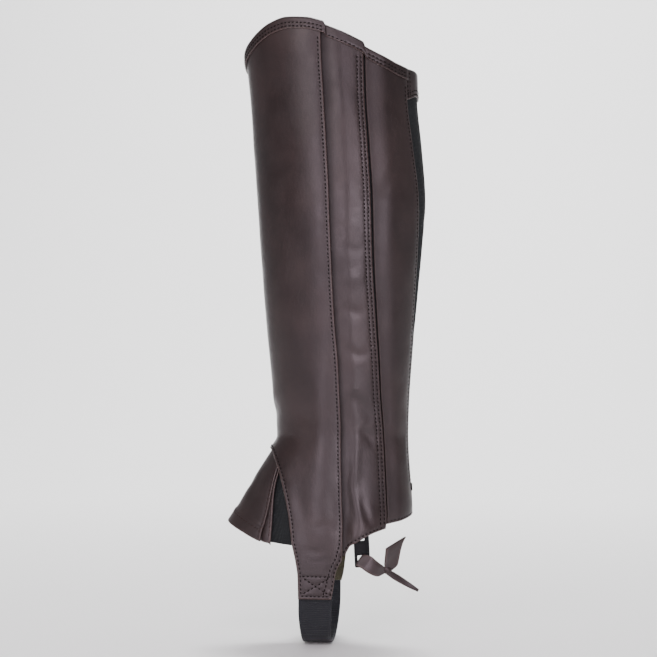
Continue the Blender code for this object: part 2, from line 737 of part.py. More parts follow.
def pull_frame():
    """Frame of the zip pull: X along its hinge, Y towards the leg, Z up."""
    angle = zip_line(PIVOT_HEIGHT)
    centre = on_leg(angle, PIVOT_HEIGHT, PIVOT_OFFSET)
    along = form_point(angle + 1, PIVOT_HEIGHT) - form_point(angle - 1, PIVOT_HEIGHT)
    along = Vector((along.x, along.y, 0)).normalized()
    up = Vector((0, 0, 1))
    frame = Matrix((along, up.cross(along), up)).transposed().to_4x4()
    frame.translation = centre
    return frame


def prism(name, outline, thickness, axis, finish):
    """An outline in the two other axes of a frame, given its thickness along one."""
    points = []
    for side in (-0.5, 0.5):
        for a, b in outline:
            place = [a, b]
            place.insert(axis, side * thickness)
            points.append(Vector(place) * MM)
    size = len(outline)
    faces = [tuple(range(size)), tuple(reversed(range(size, 2 * size)))]
    faces += [(i, (i + 1) % size, size + (i + 1) % size, size + i) for i in range(size)]
    return add_object(name, mesh_of(name, points, faces), finish)


def rounded_box(left, right, low, high, radius, steps=4):
    """Outline of a rectangle with round corners."""
    outline = []
    corners = [(right, high, 0), (left, high, 90), (left, low, 180), (right, low, 270)]
    for x, y, start in corners:
        centre_x = x - radius if x == right else x + radius
        centre_y = y - radius if y == high else y + radius
        for i in range(steps + 1):
            turn = math.radians(start + 90 * i / steps)
            outline.append((centre_x + radius * math.cos(turn), centre_y + radius * math.sin(turn)))
    return outline


def combine(piece, other, operation):
    """Boolean of two pieces; the other one stays as a hidden guide."""
    other.hide_render = True
    other.display_type = "WIRE"
    step = piece.modifiers.new(other.name, "BOOLEAN")
    step.operation = operation
    step.object = other


def make_slider():
    """The slider, with a bridge on its outer side that holds the pull's top bar."""
    frame = pull_frame()
    body = prism("zip_slider", SLIDER_BODY, SLIDER_WIDTH, 0, black_metal())
    bridge = prism("slider_bridge_guide", SLIDER_BRIDGE, BRIDGE_WIDTH, 0, black_metal())
    body.matrix_world = frame
    bridge.matrix_world = frame
    combine(body, bridge, "UNION")


def make_pull():
    """The pull tab on its hinge, and the thong that hangs from it."""
    hinge = bpy.data.objects.new("pull_hinge", None)
    bpy.context.scene.collection.objects.link(hinge)
    hinge.matrix_world = pull_frame()

    half = PULL_WIDTH / 2
    plate = rounded_box(-half, half, -PULL_DROP, PULL_BAR, 1.0)
    tab = prism("zip_pull", plate, PULL_THICK, 1, black_metal())
    for i, (width, low, high) in enumerate(PULL_SLOTS):
        slot = rounded_box(-width / 2, width / 2, low, high, 0.8)
        cutter = prism(f"pull_slot_guide_{i + 1}", slot, PULL_THICK * 3, 1, black_metal())
        cutter.parent = tab
        combine(tab, cutter, "DIFFERENCE")
    tab.parent = hinge
    tab.rotation_euler = (0, -math.radians(PULL_TILT), 0)

    rings = []
    for i, stop in enumerate(THONG):
        before = Vector(THONG[max(0, i - 1)][:3])
        after = Vector(THONG[min(len(THONG) - 1, i + 1)][:3])
        along = (after - before).normalized()
        across = Vector((stop.wx, stop.wy, stop.wz))
        across = (across - along * across.dot(along)).normalized() * stop.width / 2
        if stop.cut:
            across += along * stop.cut
        face = along.cross(across).normalized() * THONG_THICK / 2
        centre = Vector(stop[:3])
        corners = [centre - across - face, centre + across - face, centre + across + face, centre - across + face]
        rings.append([corner * MM for corner in corners])
    thong = sweep("pull_thong", rings, leather())
    thong.parent = hinge


def main():
    for piece in list(bpy.data.objects):
        bpy.data.objects.remove(piece)
    make_shell()
    make_guard()
    make_rear()
    make_inner()
    make_back_elastic()
    make_bindings()
    make_flare()
    make_flare_ends("outer", 1)
    make_flare_ends("inner", -1)
    make_strap()
    make_zip()
    make_slider()
    make_pull()


main()
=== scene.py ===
"""The looks of a leather half chap for the left leg, filled out as if worn.

Each wall of leather or elastic is laid again on the leg form of the part, at the
same places, with a finer mesh, its main creases, sunken rows of stitches and
rounded edges. A place on the form is an angle round the leg, in degrees (0 at the
shin, 90 on the outer side, 180 at the back of the calf, below 0 on the inner
side), and a height above the ground. Heights, offsets and walls are millimetres,
and objects are in metres with the origin on the leg's axis at the calf.
"""
import math
from collections import namedtuple

import bmesh
import bpy
import numpy as np
from mathutils import Matrix, Vector
from mathutils.geometry import delaunay_2d_cdt


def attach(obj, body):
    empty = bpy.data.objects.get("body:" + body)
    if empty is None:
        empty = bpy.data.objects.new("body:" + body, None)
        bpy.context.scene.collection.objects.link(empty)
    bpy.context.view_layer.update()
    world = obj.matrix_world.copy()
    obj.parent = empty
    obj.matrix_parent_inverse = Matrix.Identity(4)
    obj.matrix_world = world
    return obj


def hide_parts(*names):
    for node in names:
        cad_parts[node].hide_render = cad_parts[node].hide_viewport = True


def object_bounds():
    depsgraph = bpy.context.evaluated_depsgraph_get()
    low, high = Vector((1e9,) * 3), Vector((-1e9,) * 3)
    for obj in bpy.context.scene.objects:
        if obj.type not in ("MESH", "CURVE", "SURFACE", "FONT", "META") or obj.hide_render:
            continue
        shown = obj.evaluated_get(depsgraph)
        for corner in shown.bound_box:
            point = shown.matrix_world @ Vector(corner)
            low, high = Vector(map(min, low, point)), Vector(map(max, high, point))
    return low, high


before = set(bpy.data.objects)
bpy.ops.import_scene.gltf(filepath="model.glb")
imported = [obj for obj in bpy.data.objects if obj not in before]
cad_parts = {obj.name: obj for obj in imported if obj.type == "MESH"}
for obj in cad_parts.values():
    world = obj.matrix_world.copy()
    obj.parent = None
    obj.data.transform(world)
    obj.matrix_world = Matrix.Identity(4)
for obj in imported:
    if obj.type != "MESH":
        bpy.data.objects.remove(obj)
cad_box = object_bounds()

MM = 0.001
HOLD_HEIGHT = 360.0
IMAGE_SIDE = 657
PIXEL = 0.0008

# Walls, laps and clearances of the part
LEATHER = 1.8
LIGHT_LEATHER = 1.6
BINDING = 1.0
ELASTIC = 1.4
TAPE = 0.8
STRAP = 1.6
LAYER = 0.6
TUCKED = -LEATHER - LAYER
TAPE_OUTER = TUCKED - LIGHT_LEATHER - 0.5
LAP = 7.0
BAND_DEPTH = 9.6
CAP_DEPTH = 25.0
CAP_EDGE = 154.2
BAND_SLOT = 0.3
FOLD_SHORT = 2.2
PANEL_DROP = BINDING + 2 * BAND_SLOT

# Sewing. The last value is noted for places far from every row.
PITCH = 3.15
STITCH = 2.1
THREAD = 0.5
FINE_THREAD = 0.36
GROOVE = 0.2
GROOVE_WIDTH = 0.9
UNSEWN = 9.0

# Steps between points along outlines and rows, where the mesh has points beside
# them, and how close its points may come to each other
OUTLINE_STEP = 1.5
ROW_STEP = 1.2
FINE_STEP = 0.6
BESIDE_RING = (0.4, 1.1)
BESIDE_ROW = (-1.1, -0.5, 0.0, 0.5, 1.1)
CLOSEST = 0.3

# A panel's edge: how far in its rounding starts, how much it takes off the two
# faces, where creases fade out, and the highest distance noted for the looks
EDGE_ROUND = 0.9
OUTER_TURN = 0.45
INNER_TURN = 0.35
FADE = (1.0, 9.0)
INLAND = 12.0

# A second layer shows along the rear edge of the outer strap tab
TAB_LAYER = 2.7
TAB_LAYER_TOP = 76.0
TAB_LAYER_STEP = 0.75

# Slight waves of the leather: weight, and length in degrees round and in millimetres up
WAVES = [(1.0, 8.5, 23.0), (1.0, math.inf, 12.0), (1.0, 5.3, -15.0), (0.7, math.inf, 6.1), (0.8, 14.0, -37.0)]


class Curve:
    """Monotone cubic through pairs of x and value."""

    def __init__(self, rows):
        self.x, self.y = np.array(rows, float).T
        step = np.diff(self.x)
        slope = np.diff(self.y) / step
        before, after = slope[:-1], slope[1:]
        near, far = 2 * step[1:] + step[:-1], step[1:] + 2 * step[:-1]
        same = before * after > 0
        mean = (near + far) / (near / np.where(same, before, 1.0) + far / np.where(same, after, 1.0))
        self.tangent = np.concatenate(([slope[0]], np.where(same, mean, 0.0), [slope[-1]]))

    def __call__(self, x):
        x = np.clip(x, self.x[0], self.x[-1])
        i = np.clip(np.searchsorted(self.x, x, side="right") - 1, 0, len(self.x) - 2)
        step = self.x[i + 1] - self.x[i]
        t = (x - self.x[i]) / step
        rise = t * t * (3 - 2 * t)
        value = self.y[i] * (1 - rise) + self.y[i + 1] * rise
        value = value + step * self.tangent[i] * t * (1 - t) ** 2
        return value - step * self.tangent[i + 1] * t * t * (1 - t)


# The leg form. Shin and calf are the places on X of its front and back, middle
# is where it is widest, and half is half of that width.
Section = namedtuple("Section", "height shin calf middle half")
FORM = [
    Section(30, -112.0, 52.0, -6.0, 38.5),
    Section(80, -102.0, 54.0, -5.0, 37.5),
    Section(106, -86.7, 57.2, -4.0, 36.8),
    Section(128, -74.2, 56.0, -3.0, 36.2),
    Section(154, -57.6, 54.3, -2.0, 36.0),
    Section(164, -51.4, 54.0, -1.5, 36.0),
    Section(176, -51.9, 54.2, -1.0, 36.6),
    Section(192, -53.8, 54.8, -1.0, 38.0),
    Section(232, -57.8, 57.9, 0.0, 41.5),
    Section(272, -61.4, 61.6, 0.0, 45.5),
    Section(312, -64.4, 65.4, 0.0, 49.5),
    Section(352, -67.2, 68.2, 0.0, 52.0),
    Section(392, -69.8, 65.4, -2.0, 52.0),
    Section(432, -72.8, 61.4, -5.0, 51.0),
    Section(470, -77.0, 60.4, -8.0, 50.5),
    Section(505, -80.5, 60.4, -10.0, 50.0),
]
SHIN, CALF, MIDDLE, HALF = (Curve([(row[0], row[k]) for row in FORM]) for k in range(1, 5))

# Upright edges: rows of height and angle
shell_edge = Curve([
    (38, 91.8), (50.5, 93.8), (57.5, 94.6), (63.4, 96.6), (70, 99.7), (90, 99.1),
    (116, 97.3), (150, 95.6), (199, 93.4), (259, 88.9), (308, 87.2), (367, 86.0),
    (409, 86.4), (456, 87.2), (495, 88.4),
])
guard_edge = Curve([
    (90, 134.9), (115, 133.8), (150, 133.5), (199, 128.2), (259, 120.8),
    (308, 116.2), (367, 113.9), (409, 114.3), (490, 116.8),
])
elastic_edge = Curve([
    (123, 179.0), (128, 175.2), (136, 173.6), (172, 173.6), (198, 172.8),
    (229, 170.6), (259, 167.6), (289, 164.8), (315, 162.6), (345, 159.3),
    (369, 157.0), (393, 154.8), (425, 153.7), (460, 154.0),
])
flare_edge = Curve([(80, 54.0), (109, 50.1), (137, 43.4), (160, 37.0)])
strip_edge = Curve([(78, 60.2), (86, 59.3), (112, 52.6), (137, 45.4), (160, 39.0)])
inner_edge = Curve([(43.5, 92.5), (50.5, 94.1), (57.5, 94.9), (63.4, 95.5), (70, 96.2), (76, 95.6)])
FRONT_SEAM = -30.0
BACK_SEAM = 180.0

# Tops and hems: rows of angle and height
TOP_FRONT = Curve([
    (-40, 453), (-20, 458), (0, 466), (15, 471.5), (30, 478), (39, 482.6),
    (52.4, 488.9), (66, 492.3), (79, 491.4), (91.5, 487.4),
])
TOP_GUARD = Curve([(90, 486.0), (104.4, 478.6), (117, 471.5)])
TOP_REAR = Curve([(116, 469.8), (131.5, 461.5), (143, 456.8), (155, 454.0)])
TOP_CAP = Curve([(152, 454.6), (165, 454.0), (195, 450.2), (210, 448.0)])
TOP_INNER = Curve([(-155, 448.0), (-120, 443.0), (-90, 442.0), (-60, 446.0), (-28, 454.6)])
guard_hem = Curve([
    (99.7, 70), (103.8, 76.5), (105.5, 80), (109, 81.9), (116, 86.4), (123.4, 89.9), (135.1, 92.9),
])
BACK_HEM = 101.6
rear_hem = Curve([(134, 95.2), (151, 98.0), (170.7, 100.8), (180, BACK_HEM)])
inner_hem = Curve([
    (-180, BACK_HEM), (-170.7, 100.8), (-151, 98.0), (-135, 94.4), (-123.4, 90.2),
    (-116, 88.5), (-109, 84.8), (-105.5, 83.5), (-101.0, 81), (-95.4, 73),
])
FLARE_HEM = Curve([(0, 97), (10, 96.2), (23.6, 93.7), (38.6, 88.9), (54.3, 81.8), (61, 79.8)])
gusset_hem = Curve([(52, 82.4), (61, 81.4), (71.6, 79.6), (80, 78.6)])
TAB_END = 38.0
ARCH_END = 76.5
ARCH = Curve([
    (0, 154.5), (12, 154.2), (21.5, 152.8), (35, 147.1), (45.9, 138.8),
    (53.5, 129.7), (60, 118.1), (65.3, 105), (69.3, 91.8), (71.9, 79.4),
    (74.3, 67), (75.7, 55.7), (ARCH_END, TAB_END),
])
INNER_TAB_END = 43.5
HEM_FOLD = 9.4
HEM_STEP = 1.6
HEM_RISE = 1.0

# The zip
ZIP_INSET = 17.0
TAPE_TOP = 464.0
TAPE_END = 88.0
TAPE_RISE = 9.5
CHAIN_WIDTH = 5.6
ZIP_GAP = 0.35
TOOTH_PITCH = 2.5
TOOTH = 2.9
TOOTH_HALF = (0.5, 0.95)
SLIDER_TOP = 101.0
SLIDER_WIDTH = 9.6
BRIDGE_WIDTH = 2.8

# The pull tab, hung on the slider's bridge. A slot has a width and two heights.
PIVOT_HEIGHT = 88.0
PIVOT_OFFSET = -2.2
PULL_WIDTH = 12.2
PULL_THICK = 1.6
PULL_DROP = 25.0
PULL_TILT = 3.0
PULL_BAR = 0.8
PULL_RIM = 1.5
PULL_SLOTS = [(5.2, -4.3, -PULL_BAR), (7.6, -19.8, -15.5)]
PULL_WINDOW = (-15.0, -5.6)
PANEL_LAP = 0.5

# Side views of the slider's body and bridge: distance towards the leg, and height
SLIDER_BODY = [
    (1.2, 0.8), (1.2, 10.5), (2.1, 13.0), (3.8, 13.0), (4.4, 11.5), (4.4, -1.5), (3.8, -2.8), (2.4, -2.8),
]
SLIDER_BRIDGE = [
    (2.7, -2.5), (-1.7, -2.5), (-2.4, -1.8), (-2.4, 7.5), (-0.4, 10.2), (1.8, 10.2),
    (1.8, 9.0), (0.1, 9.0), (-1.2, 7.1), (-1.2, -1.3), (2.7, -1.3),
]

# The strap under the boot: rows of y and height, from the outer tab to the inner one
STRAP_FRONT = -30.4
STRAP_BACK = -4.0
STRAP_MIDDLE = -17.2
STRAP_LINE = [
    (-34.7, 58), (-34.9, 48), (-35.2, 38), (-34.8, 28), (-32.6, 18), (-27, 9),
    (-18, 3.2), (-6, 0.9), (6, 0.9), (18, 3), (28.5, 8.6), (35.2, 17.6),
    (38.6, 28), (39.6, 38), (39.6, 48), (39.3, 60),
]
RIB_PITCH = 1.55
RIB_RISE = 0.16
SELVAGE = 2.0

# The thong's two edges, each as millimetres along the hinge, towards the leg and up:
# the first tail from its tip, seven rows, the loop through the slot and back, eighteen
# rows, and the second tail, six rows
THONG_WIDTH = 12.0
THONG_THICK = 1.5
THONG_EDGES = [
    (18.3, -6.4, -10.2, 35.4, -0.6, -1.6),
    (18.1, -5.8, -13.6, 33.0, -0.4, -6.6),
    (17.9, -5.0, -17.2, 31.2, -0.2, -13.4),
    (17.8, -3.9, -20.6, 30.2, -0.2, -18.8),
    (17.9, -2.7, -23.2, 28.9, -0.4, -23.6),
    (18.6, -1.3, -25.2, 26.0, -0.3, -26.4),
    (20.0, 0.2, -26.4, 23.4, 0.0, -28.4),
    (20.2, 1.0, -25.8, 19.0, 1.0, -29.6),
    (18.0, 1.3, -24.5, 16.6, 1.3, -30.4),
    (16.6, 1.7, -23.6, 14.0, 1.7, -30.9),
    (14.6, 2.3, -22.8, 9.6, 2.3, -30.4),
    (11.6, 2.8, -21.2, 4.2, 2.8, -26.8),
    (7.0, 2.8, -17.6, 0.2, 2.8, -23.6),
    (3.6, 2.0, -16.2, -1.6, 2.0, -21.8),
    (3.5, 1.2, -15.9, -0.1, 1.2, -19.4),
    (3.5, 0.0, -15.9, -0.1, 0.0, -19.4),
    (3.5, -1.2, -15.9, -0.1, -1.2, -19.4),
    (1.4, -2.1, -15.0, -4.2, -2.1, -23.0),
    (4.0, -3.7, -14.9, -3.0, -3.4, -24.0),
    (7.6, -5.4, -16.2, -0.4, -5.0, -25.4),
    (10.6, -5.2, -18.8, 3.4, -5.6, -28.2),
    (13.8, -4.2, -21.4, 8.2, -5.0, -30.9),
    (16.4, -2.9, -23.2, 12.6, -3.4, -32.1),
    (18.3, -1.7, -24.7, 16.4, -1.7, -31.1),
    (20.4, -0.9, -26.0, 19.0, -0.9, -30.2),
    (23.6, -0.2, -27.8, 21.2, -0.6, -31.8),
    (27.8, 0.5, -30.2, 25.4, -0.5, -34.8),
    (32.8, 0.8, -33.4, 30.8, -0.2, -38.0),
    (38.0, 0.6, -37.0, 36.2, 0.2, -41.0),
    (42.4, 0.2, -40.2, 40.8, 0.4, -43.3),
    (46.2, -0.2, -43.2, 45.2, 0.4, -45.2),
]
KNOT = (21.3, 0.0, -27.6)
KNOT_TURN = 33.0
KNOT_REACH = 2.5
KNOT_HALF = (2.9, 3.5)


def ramp(x, start, end):
    """Smooth step from 0 at start to 1 at end."""
    t = np.clip((x - start) / (end - start), 0.0, 1.0)
    return t * t * (3 - 2 * t)


def bump(x, centre, width):
    return np.exp(-0.5 * ((x - centre) / width) ** 2)


def unit(steps):
    return steps / np.linalg.norm(steps, axis=-1, keepdims=True)


def travelled(points):
    """How far along a line each of its points is."""
    steps = np.linalg.norm(np.diff(points, axis=0), axis=1)
    return np.concatenate(([0.0], np.cumsum(steps)))


def at_stops(stops, at, line):
    """Each column of a line at some stops, where at is how far along its points are."""
    return [np.interp(stops, at, column) for column in np.transpose(line)]


def form(angle, height):
    """Points of the leg form, in millimetres above the ground."""
    turn = np.radians(angle)
    middle = MIDDLE(height)
    reach = np.where(np.cos(turn) > 0, middle - SHIN(height), CALF(height) - middle)
    return np.stack((middle - reach * np.cos(turn), -HALF(height) * np.sin(turn), height + 0 * turn), axis=-1)


def leg_steps(angle, height, nudge):
    """Steps on the leg form over two nudges round it and over two nudges up it."""
    around = form(angle + nudge, height) - form(angle - nudge, height)
    up = form(angle, height + nudge) - form(angle, height - nudge)
    return around, up


def leg_scale(angle, height):
    """Millimetres on the leg form for a degree round it and for a millimetre of height."""
    return np.stack([np.linalg.norm(step, axis=-1) for step in leg_steps(angle, height, 0.5)], axis=-1)


def normal(angle, height):
    return unit(np.cross(*leg_steps(angle, height, 0.05)))


def on_leg(angle, height, offset=0.0):
    """Points at an offset outside the leg form, in metres from the origin."""
    angle, height, offset = (np.asarray(value, float) for value in (angle, height, offset))
    point = form(angle, height) + offset[..., None] * normal(angle, height)
    point[..., 2] -= HOLD_HEIGHT
    return point * MM


def rear_edge_front(height):
    return guard_edge(height) + 1.7 + 0.7 * ramp(height, 460, 100)


def zip_line(height):
    return guard_edge(height) - ZIP_INSET - 4.0 * ramp(height, 300, 110)


def top_line(angle):
    pieces = [angle < FRONT_SEAM, angle <= 90.7, angle <= 116.6, angle <= 153.5]
    tops = [TOP_INNER(angle), TOP_FRONT(angle), TOP_GUARD(angle), TOP_REAR(angle)]
    return np.select(pieces, tops, TOP_CAP(angle))


def panel_top(angle):
    """Where a panel ends inside its binding."""
    return float(top_line(angle)) - PANEL_DROP


def band_foot(angle, lap):
    """Where a lap under a binding ends, above the binding's edge."""
    return float(top_line(angle)) - BAND_DEPTH + lap


# Outer faces of the pieces: the offset from the form at each place
def shell_face(angle, height):
    """Level with the form, with a step down to the second layer of the strap tab."""
    inset = (shell_edge(height) - angle) * leg_scale(angle, height)[..., 0]
    layer = 1 - ramp(inset, TAB_LAYER - 0.35, TAB_LAYER + 0.35)
    return -TAB_LAYER_STEP * layer * (1 - ramp(height, TAB_LAYER_TOP - 6, TAB_LAYER_TOP + 6))


def guard_face(angle, height):
    """Tucked under the shell, then rising to a bulge over the zip slider."""
    past = angle - shell_edge(height)
    bulge = 3.5 * bump(angle, zip_line(PIVOT_HEIGHT), 13.0) * bump(height, PIVOT_HEIGHT, 15.0)
    return TUCKED + (-TUCKED - 0.4) * ramp(past, 0.5, 14.0) + bulge * ramp(past, 0.5, 8.5)


def rear_face(angle, height):
    return TUCKED * (1 - ramp(angle - rear_edge_front(height), 1.0, 16.0))


def inner_face(angle, height):
    return TUCKED * ramp(angle, FRONT_SEAM - 9.0, FRONT_SEAM - 0.5)


def elastic_face(angle, height):
    """Deep at its two laps, fuller between them."""
    reach = np.maximum(4.0, BACK_SEAM - elastic_edge(height))
    fullness = 1 - ramp(np.abs(angle - BACK_SEAM) / reach, 0.2, 0.95)
    return TUCKED + 1.7 * fullness * ramp(height, 124.0, 140.0)


def flare_face(angle, height):
    """Raised at the folded hem, and deeper where the inner panel laps under the shell."""
    fold = FLARE_HEM(np.abs(angle)) + HEM_FOLD
    arch = ARCH(np.abs(angle))
    lap = ramp(-angle, 8.0, 17.0) * ramp(height, arch - 14.0, arch - 6.0)
    under = inner_face(angle, height) - LEATHER - LAYER - 0.4 - TUCKED
    return TUCKED + HEM_RISE * (1 - ramp(height, fold, fold + HEM_STEP)) + under * lap


def strip_face(angle, height):
    """Under the shell at its top, and under the flare's edge beside it."""
    arch = ARCH(np.abs(angle))
    lap = 1 - ramp(np.abs(angle) - flare_edge(height), -0.6, 1.2)
    return TUCKED + 0.3 - 0.9 * ramp(height, arch - 12.0, arch - 4.0) - 2.3 * lap


def gusset_face(angle, height):
    past = np.abs(angle) - strip_edge(height)
    under_strip = TUCKED - LIGHT_LEATHER - LAYER - 0.7 - 0.9 * ramp(height, 126.0, 140.0)
    return under_strip - (under_strip - TUCKED) * ramp(past, -1.0, 6.0)


def tape_face(angle, height):
    return TAPE_OUTER + 0 * angle


# Lines on the pattern, each an array of angle and height
def even(line, spacing=OUTLINE_STEP):
    """The line with points at even distances on the leg."""
    line = np.asarray(line, float)
    at = travelled(form(*line.T))
    count = max(2, int(round(at[-1] / spacing)) + 1)
    return np.stack(at_stops(np.linspace(0, at[-1], count), at, line), axis=1)


def upright(edge, start, end, shift=0.0):
    """Up or down an edge, which is an angle or gives one for each height."""
    heights = np.linspace(start, end, 200)
    angles = edge(heights) if callable(edge) else np.full(200, float(edge))
    return np.stack((angles + shift, heights), axis=1)


def level(line, start, end, lift=0.0):
    """Along a top or a hem."""
    angles = np.linspace(start, end, 400)
    return np.stack((angles, line(np.abs(angles) if line in (ARCH, FLARE_HEM) else angles) + lift), axis=1)


def straight(*places):
    """Straight from place to place."""
    return np.array(places, float)


def mirrored(line, about=0.0):
    """The same line on the other side of an angle, in the other direction."""
    return np.stack((2 * about - line[::-1, 0], line[::-1, 1]), axis=1)


def beside(line, distance):
    """The line moved to the right of its own direction, in millimetres."""
    scale = leg_scale(*line.T)
    step = unit(np.gradient(line, axis=0) * scale)
    right = np.stack((step[:, 1], -step[:, 0]), axis=1)
    return line + np.reshape(distance, (-1, 1)) * right / scale


def edge_row(edge, start, end, inset):
    """A row of stitches beside an upright edge."""
    return beside(even(upright(edge, start, end)), inset)


def hem_row(hem, start, end, inset):
    return beside(even(level(hem, start, end)), inset)


def rounded(places, count=40):
    """A smooth line through three or more places."""
    places = np.asarray(places, float)
    stops = np.linspace(0, len(places) - 1, count)
    padded = np.vstack((2 * places[0] - places[1], places, 2 * places[-1] - places[-2]))
    i = np.minimum(stops.astype(int), len(places) - 2)
    t = (stops - i)[:, None]
    a, b, c, d = (padded[i + k] for k in range(4))
    bend, twist = 2 * a - 5 * b + 4 * c - d, 3 * b - a - 3 * c + d
    return 0.5 * (2 * b + (c - a) * t + bend * t ** 2 + twist * t ** 3)


def nearest(spots, line, closed=False):
    """How far each spot is from the line, and how far along the line it lies, from 0 to 1."""
    ends = np.vstack((line, line[:1])) if closed else line
    best = np.full(len(spots), np.inf)
    place = np.zeros(len(spots))
    count = len(ends) - 1
    for i in range(count):
        step = ends[i + 1] - ends[i]
        t = np.clip((spots - ends[i]) @ step / max(1e-12, step @ step), 0.0, 1.0)
        gap = np.hypot(*(spots - ends[i] - t[:, None] * step).T)
        closer = gap < best
        best[closer] = gap[closer]
        place[closer] = (i + t[closer]) / count
    return best, place


def within(spots, ring):
    """True for the spots inside the ring."""
    result = np.zeros(len(spots), bool)
    for a, b in zip(ring, np.roll(ring, -1, axis=0)):
        if a[1] != b[1]:
            spans = (a[1] > spots[:, 1]) != (b[1] > spots[:, 1])
            left = spots[:, 0] < a[0] + (b[0] - a[0]) * (spots[:, 1] - a[1]) / (b[1] - a[1])
            result ^= spans & left
    return result


class Skin:
    """The outer face of a panel with its creases and its slight unevenness.

    A crease is a row of depth, width and places: a trough (depth below 0) or a
    ridge along a smooth line. The ring is the panel's outline, where they fade out.
    """

    def __init__(self, face, creases=(), sway=0.0, seed=0):
        self.face = face
        self.creases = [(depth, width, rounded(places)) for depth, width, places in creases]
        self.sway = sway
        self.phases = np.random.default_rng(seed).uniform(0, 2 * math.pi, 6)
        self.ring = None

    def relief(self, angle, height):
        angle, height = np.broadcast_arrays(np.asarray(angle, float), np.asarray(height, float))
        spots = np.stack((angle.ravel(), height.ravel()), axis=1)
        total = np.zeros(len(spots))
        for depth, width, line in self.creases:
            gap, place = nearest(spots, line)
            total += depth * np.exp(-((gap / width) ** 2)) * np.sin(math.pi * place) ** 0.7
        for (weight, around, up), phase in zip(WAVES, self.phases):
            total += self.sway / 2.4 * weight * np.sin(spots[:, 0] / around + spots[:, 1] / up + phase)
        if self.ring is not None:
            total *= ramp(nearest(spots, self.ring, True)[0], *FADE)
        return total.reshape(angle.shape)

    def __call__(self, angle, height):
        return self.face(angle, height) + self.relief(angle, height)


def linked(name, data):
    """An object of the scene that holds the data."""
    thing = bpy.data.objects.new(name, data)
    bpy.context.scene.collection.objects.link(thing)
    return thing


def put(name, mesh, node, looks, body="root"):
    """A piece that stands for a node of the part, on its body."""
    for look in looks:
        mesh.materials.append(look)
    mesh.shade_smooth()
    piece = linked(name, mesh)
    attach(piece, body)
    if node:
        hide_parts(node)
    return piece


def mesh_from(name, points, faces, finish=None):
    mesh = bpy.data.meshes.new(name)
    mesh.from_pydata(np.asarray(points).tolist(), [], faces)
    if finish is not None:
        mesh.polygons.foreach_set("material_index", finish)
    mesh.update()
    return mesh


def note(mesh, **rows):
    """Values for each point of a mesh, which its looks read."""
    for name, values in rows.items():
        place = mesh.attributes.new(name, "FLOAT", "POINT").data
        place.foreach_set("value", np.asarray(values, np.float32))


def reshaped(mesh, weld=False, rounding=0.0):
    """The mesh with its normals turned out and, where asked, its doubles welded or its edges rounded."""
    shape = bmesh.new()
    shape.from_mesh(mesh)
    if weld:
        bmesh.ops.remove_doubles(shape, verts=shape.verts, dist=1e-6)
    bmesh.ops.recalc_face_normals(shape, faces=shape.faces)
    if rounding:
        bmesh.ops.bevel(shape, geom=list(shape.edges), offset=rounding * MM, segments=2,
                        affect="EDGES", profile=0.5, clamp_overlap=True)
    shape.to_mesh(mesh)
    shape.free()
    return mesh


def tube_faces(stations, size, start=0, cap=True):
    """Faces along a tube that has a ring of points at each station, and over its ends."""
    faces = []
    for low in range(start, start + (stations - 1) * size, size):
        for i in range(size):
            j = (i + 1) % size
            faces.append((low + i, low + size + i, low + size + j, low + j))
    if cap:
        end = start + stations * size
        faces += [tuple(range(start, start + size)), tuple(range(end - 1, end - size - 1, -1))]
    return faces


def sweep_mesh(name, rings, cap=True):
    """A closed solid through rings, an array of stations by points."""
    rings = np.asarray(rings)
    stations, size, _ = rings.shape
    return reshaped(mesh_from(name, rings.reshape(-1, 3), tube_faces(stations, size, 0, cap)))


def cut_size(ring):
    """Width and length, in metres, of the rectangle that a panel is cut from."""
    centre = ring.mean(axis=0)
    halfway = (ring + centre) / 2
    wide = leg_scale(halfway[:, 0], ring[:, 1])[:, 0]
    tall = leg_scale(ring[:, 0], halfway[:, 1])[:, 1]
    flat = (ring - centre) * np.stack((wide, tall), axis=1)
    axes = np.linalg.svd(flat - flat.mean(axis=0), full_matrices=False)[2]
    return sorted(np.ptp(flat @ axes.T, axis=0) * MM)


def mesh_spots(ring, rows, guides, grid):
    """The ring, points close to it and to the rows, and a staggered grid between them."""
    after = np.roll(ring, -1, axis=0)
    side = unit(after - np.roll(ring, 1, axis=0))
    area = np.sum(ring[:, 0] * after[:, 1] - after[:, 0] * ring[:, 1])
    inward = np.stack((-side[:, 1], side[:, 0]), axis=1) * np.sign(area)
    near = [ring + inward * inset for inset in BESIDE_RING]
    near += [beside(line, gap) for line in rows for gap in BESIDE_ROW]
    near = np.vstack(near + guides)
    near = near[within(near, ring)]
    near = near[nearest(near, ring, True)[0] > CLOSEST]
    first = np.unique(np.round(near / CLOSEST), axis=0, return_index=True)[1]
    low, high = ring.min(axis=0), ring.max(axis=0)
    columns, levels = np.meshgrid(np.arange(low[0], high[0], grid), np.arange(low[1], high[1], grid))
    columns = columns + np.where(np.arange(len(levels))[:, None] % 2, grid / 2, 0.0)
    field = np.stack((columns.ravel(), levels.ravel()), axis=1)
    field = field[within(field, ring)]
    field = field[nearest(field, ring, True)[0] > BESIDE_RING[-1] + 0.5 * grid]
    for line in rows + guides:
        field = field[nearest(field, line)[0] > BESIDE_ROW[-1] + 0.4 * grid]
    return np.vstack((ring, near[np.sort(first)], field))


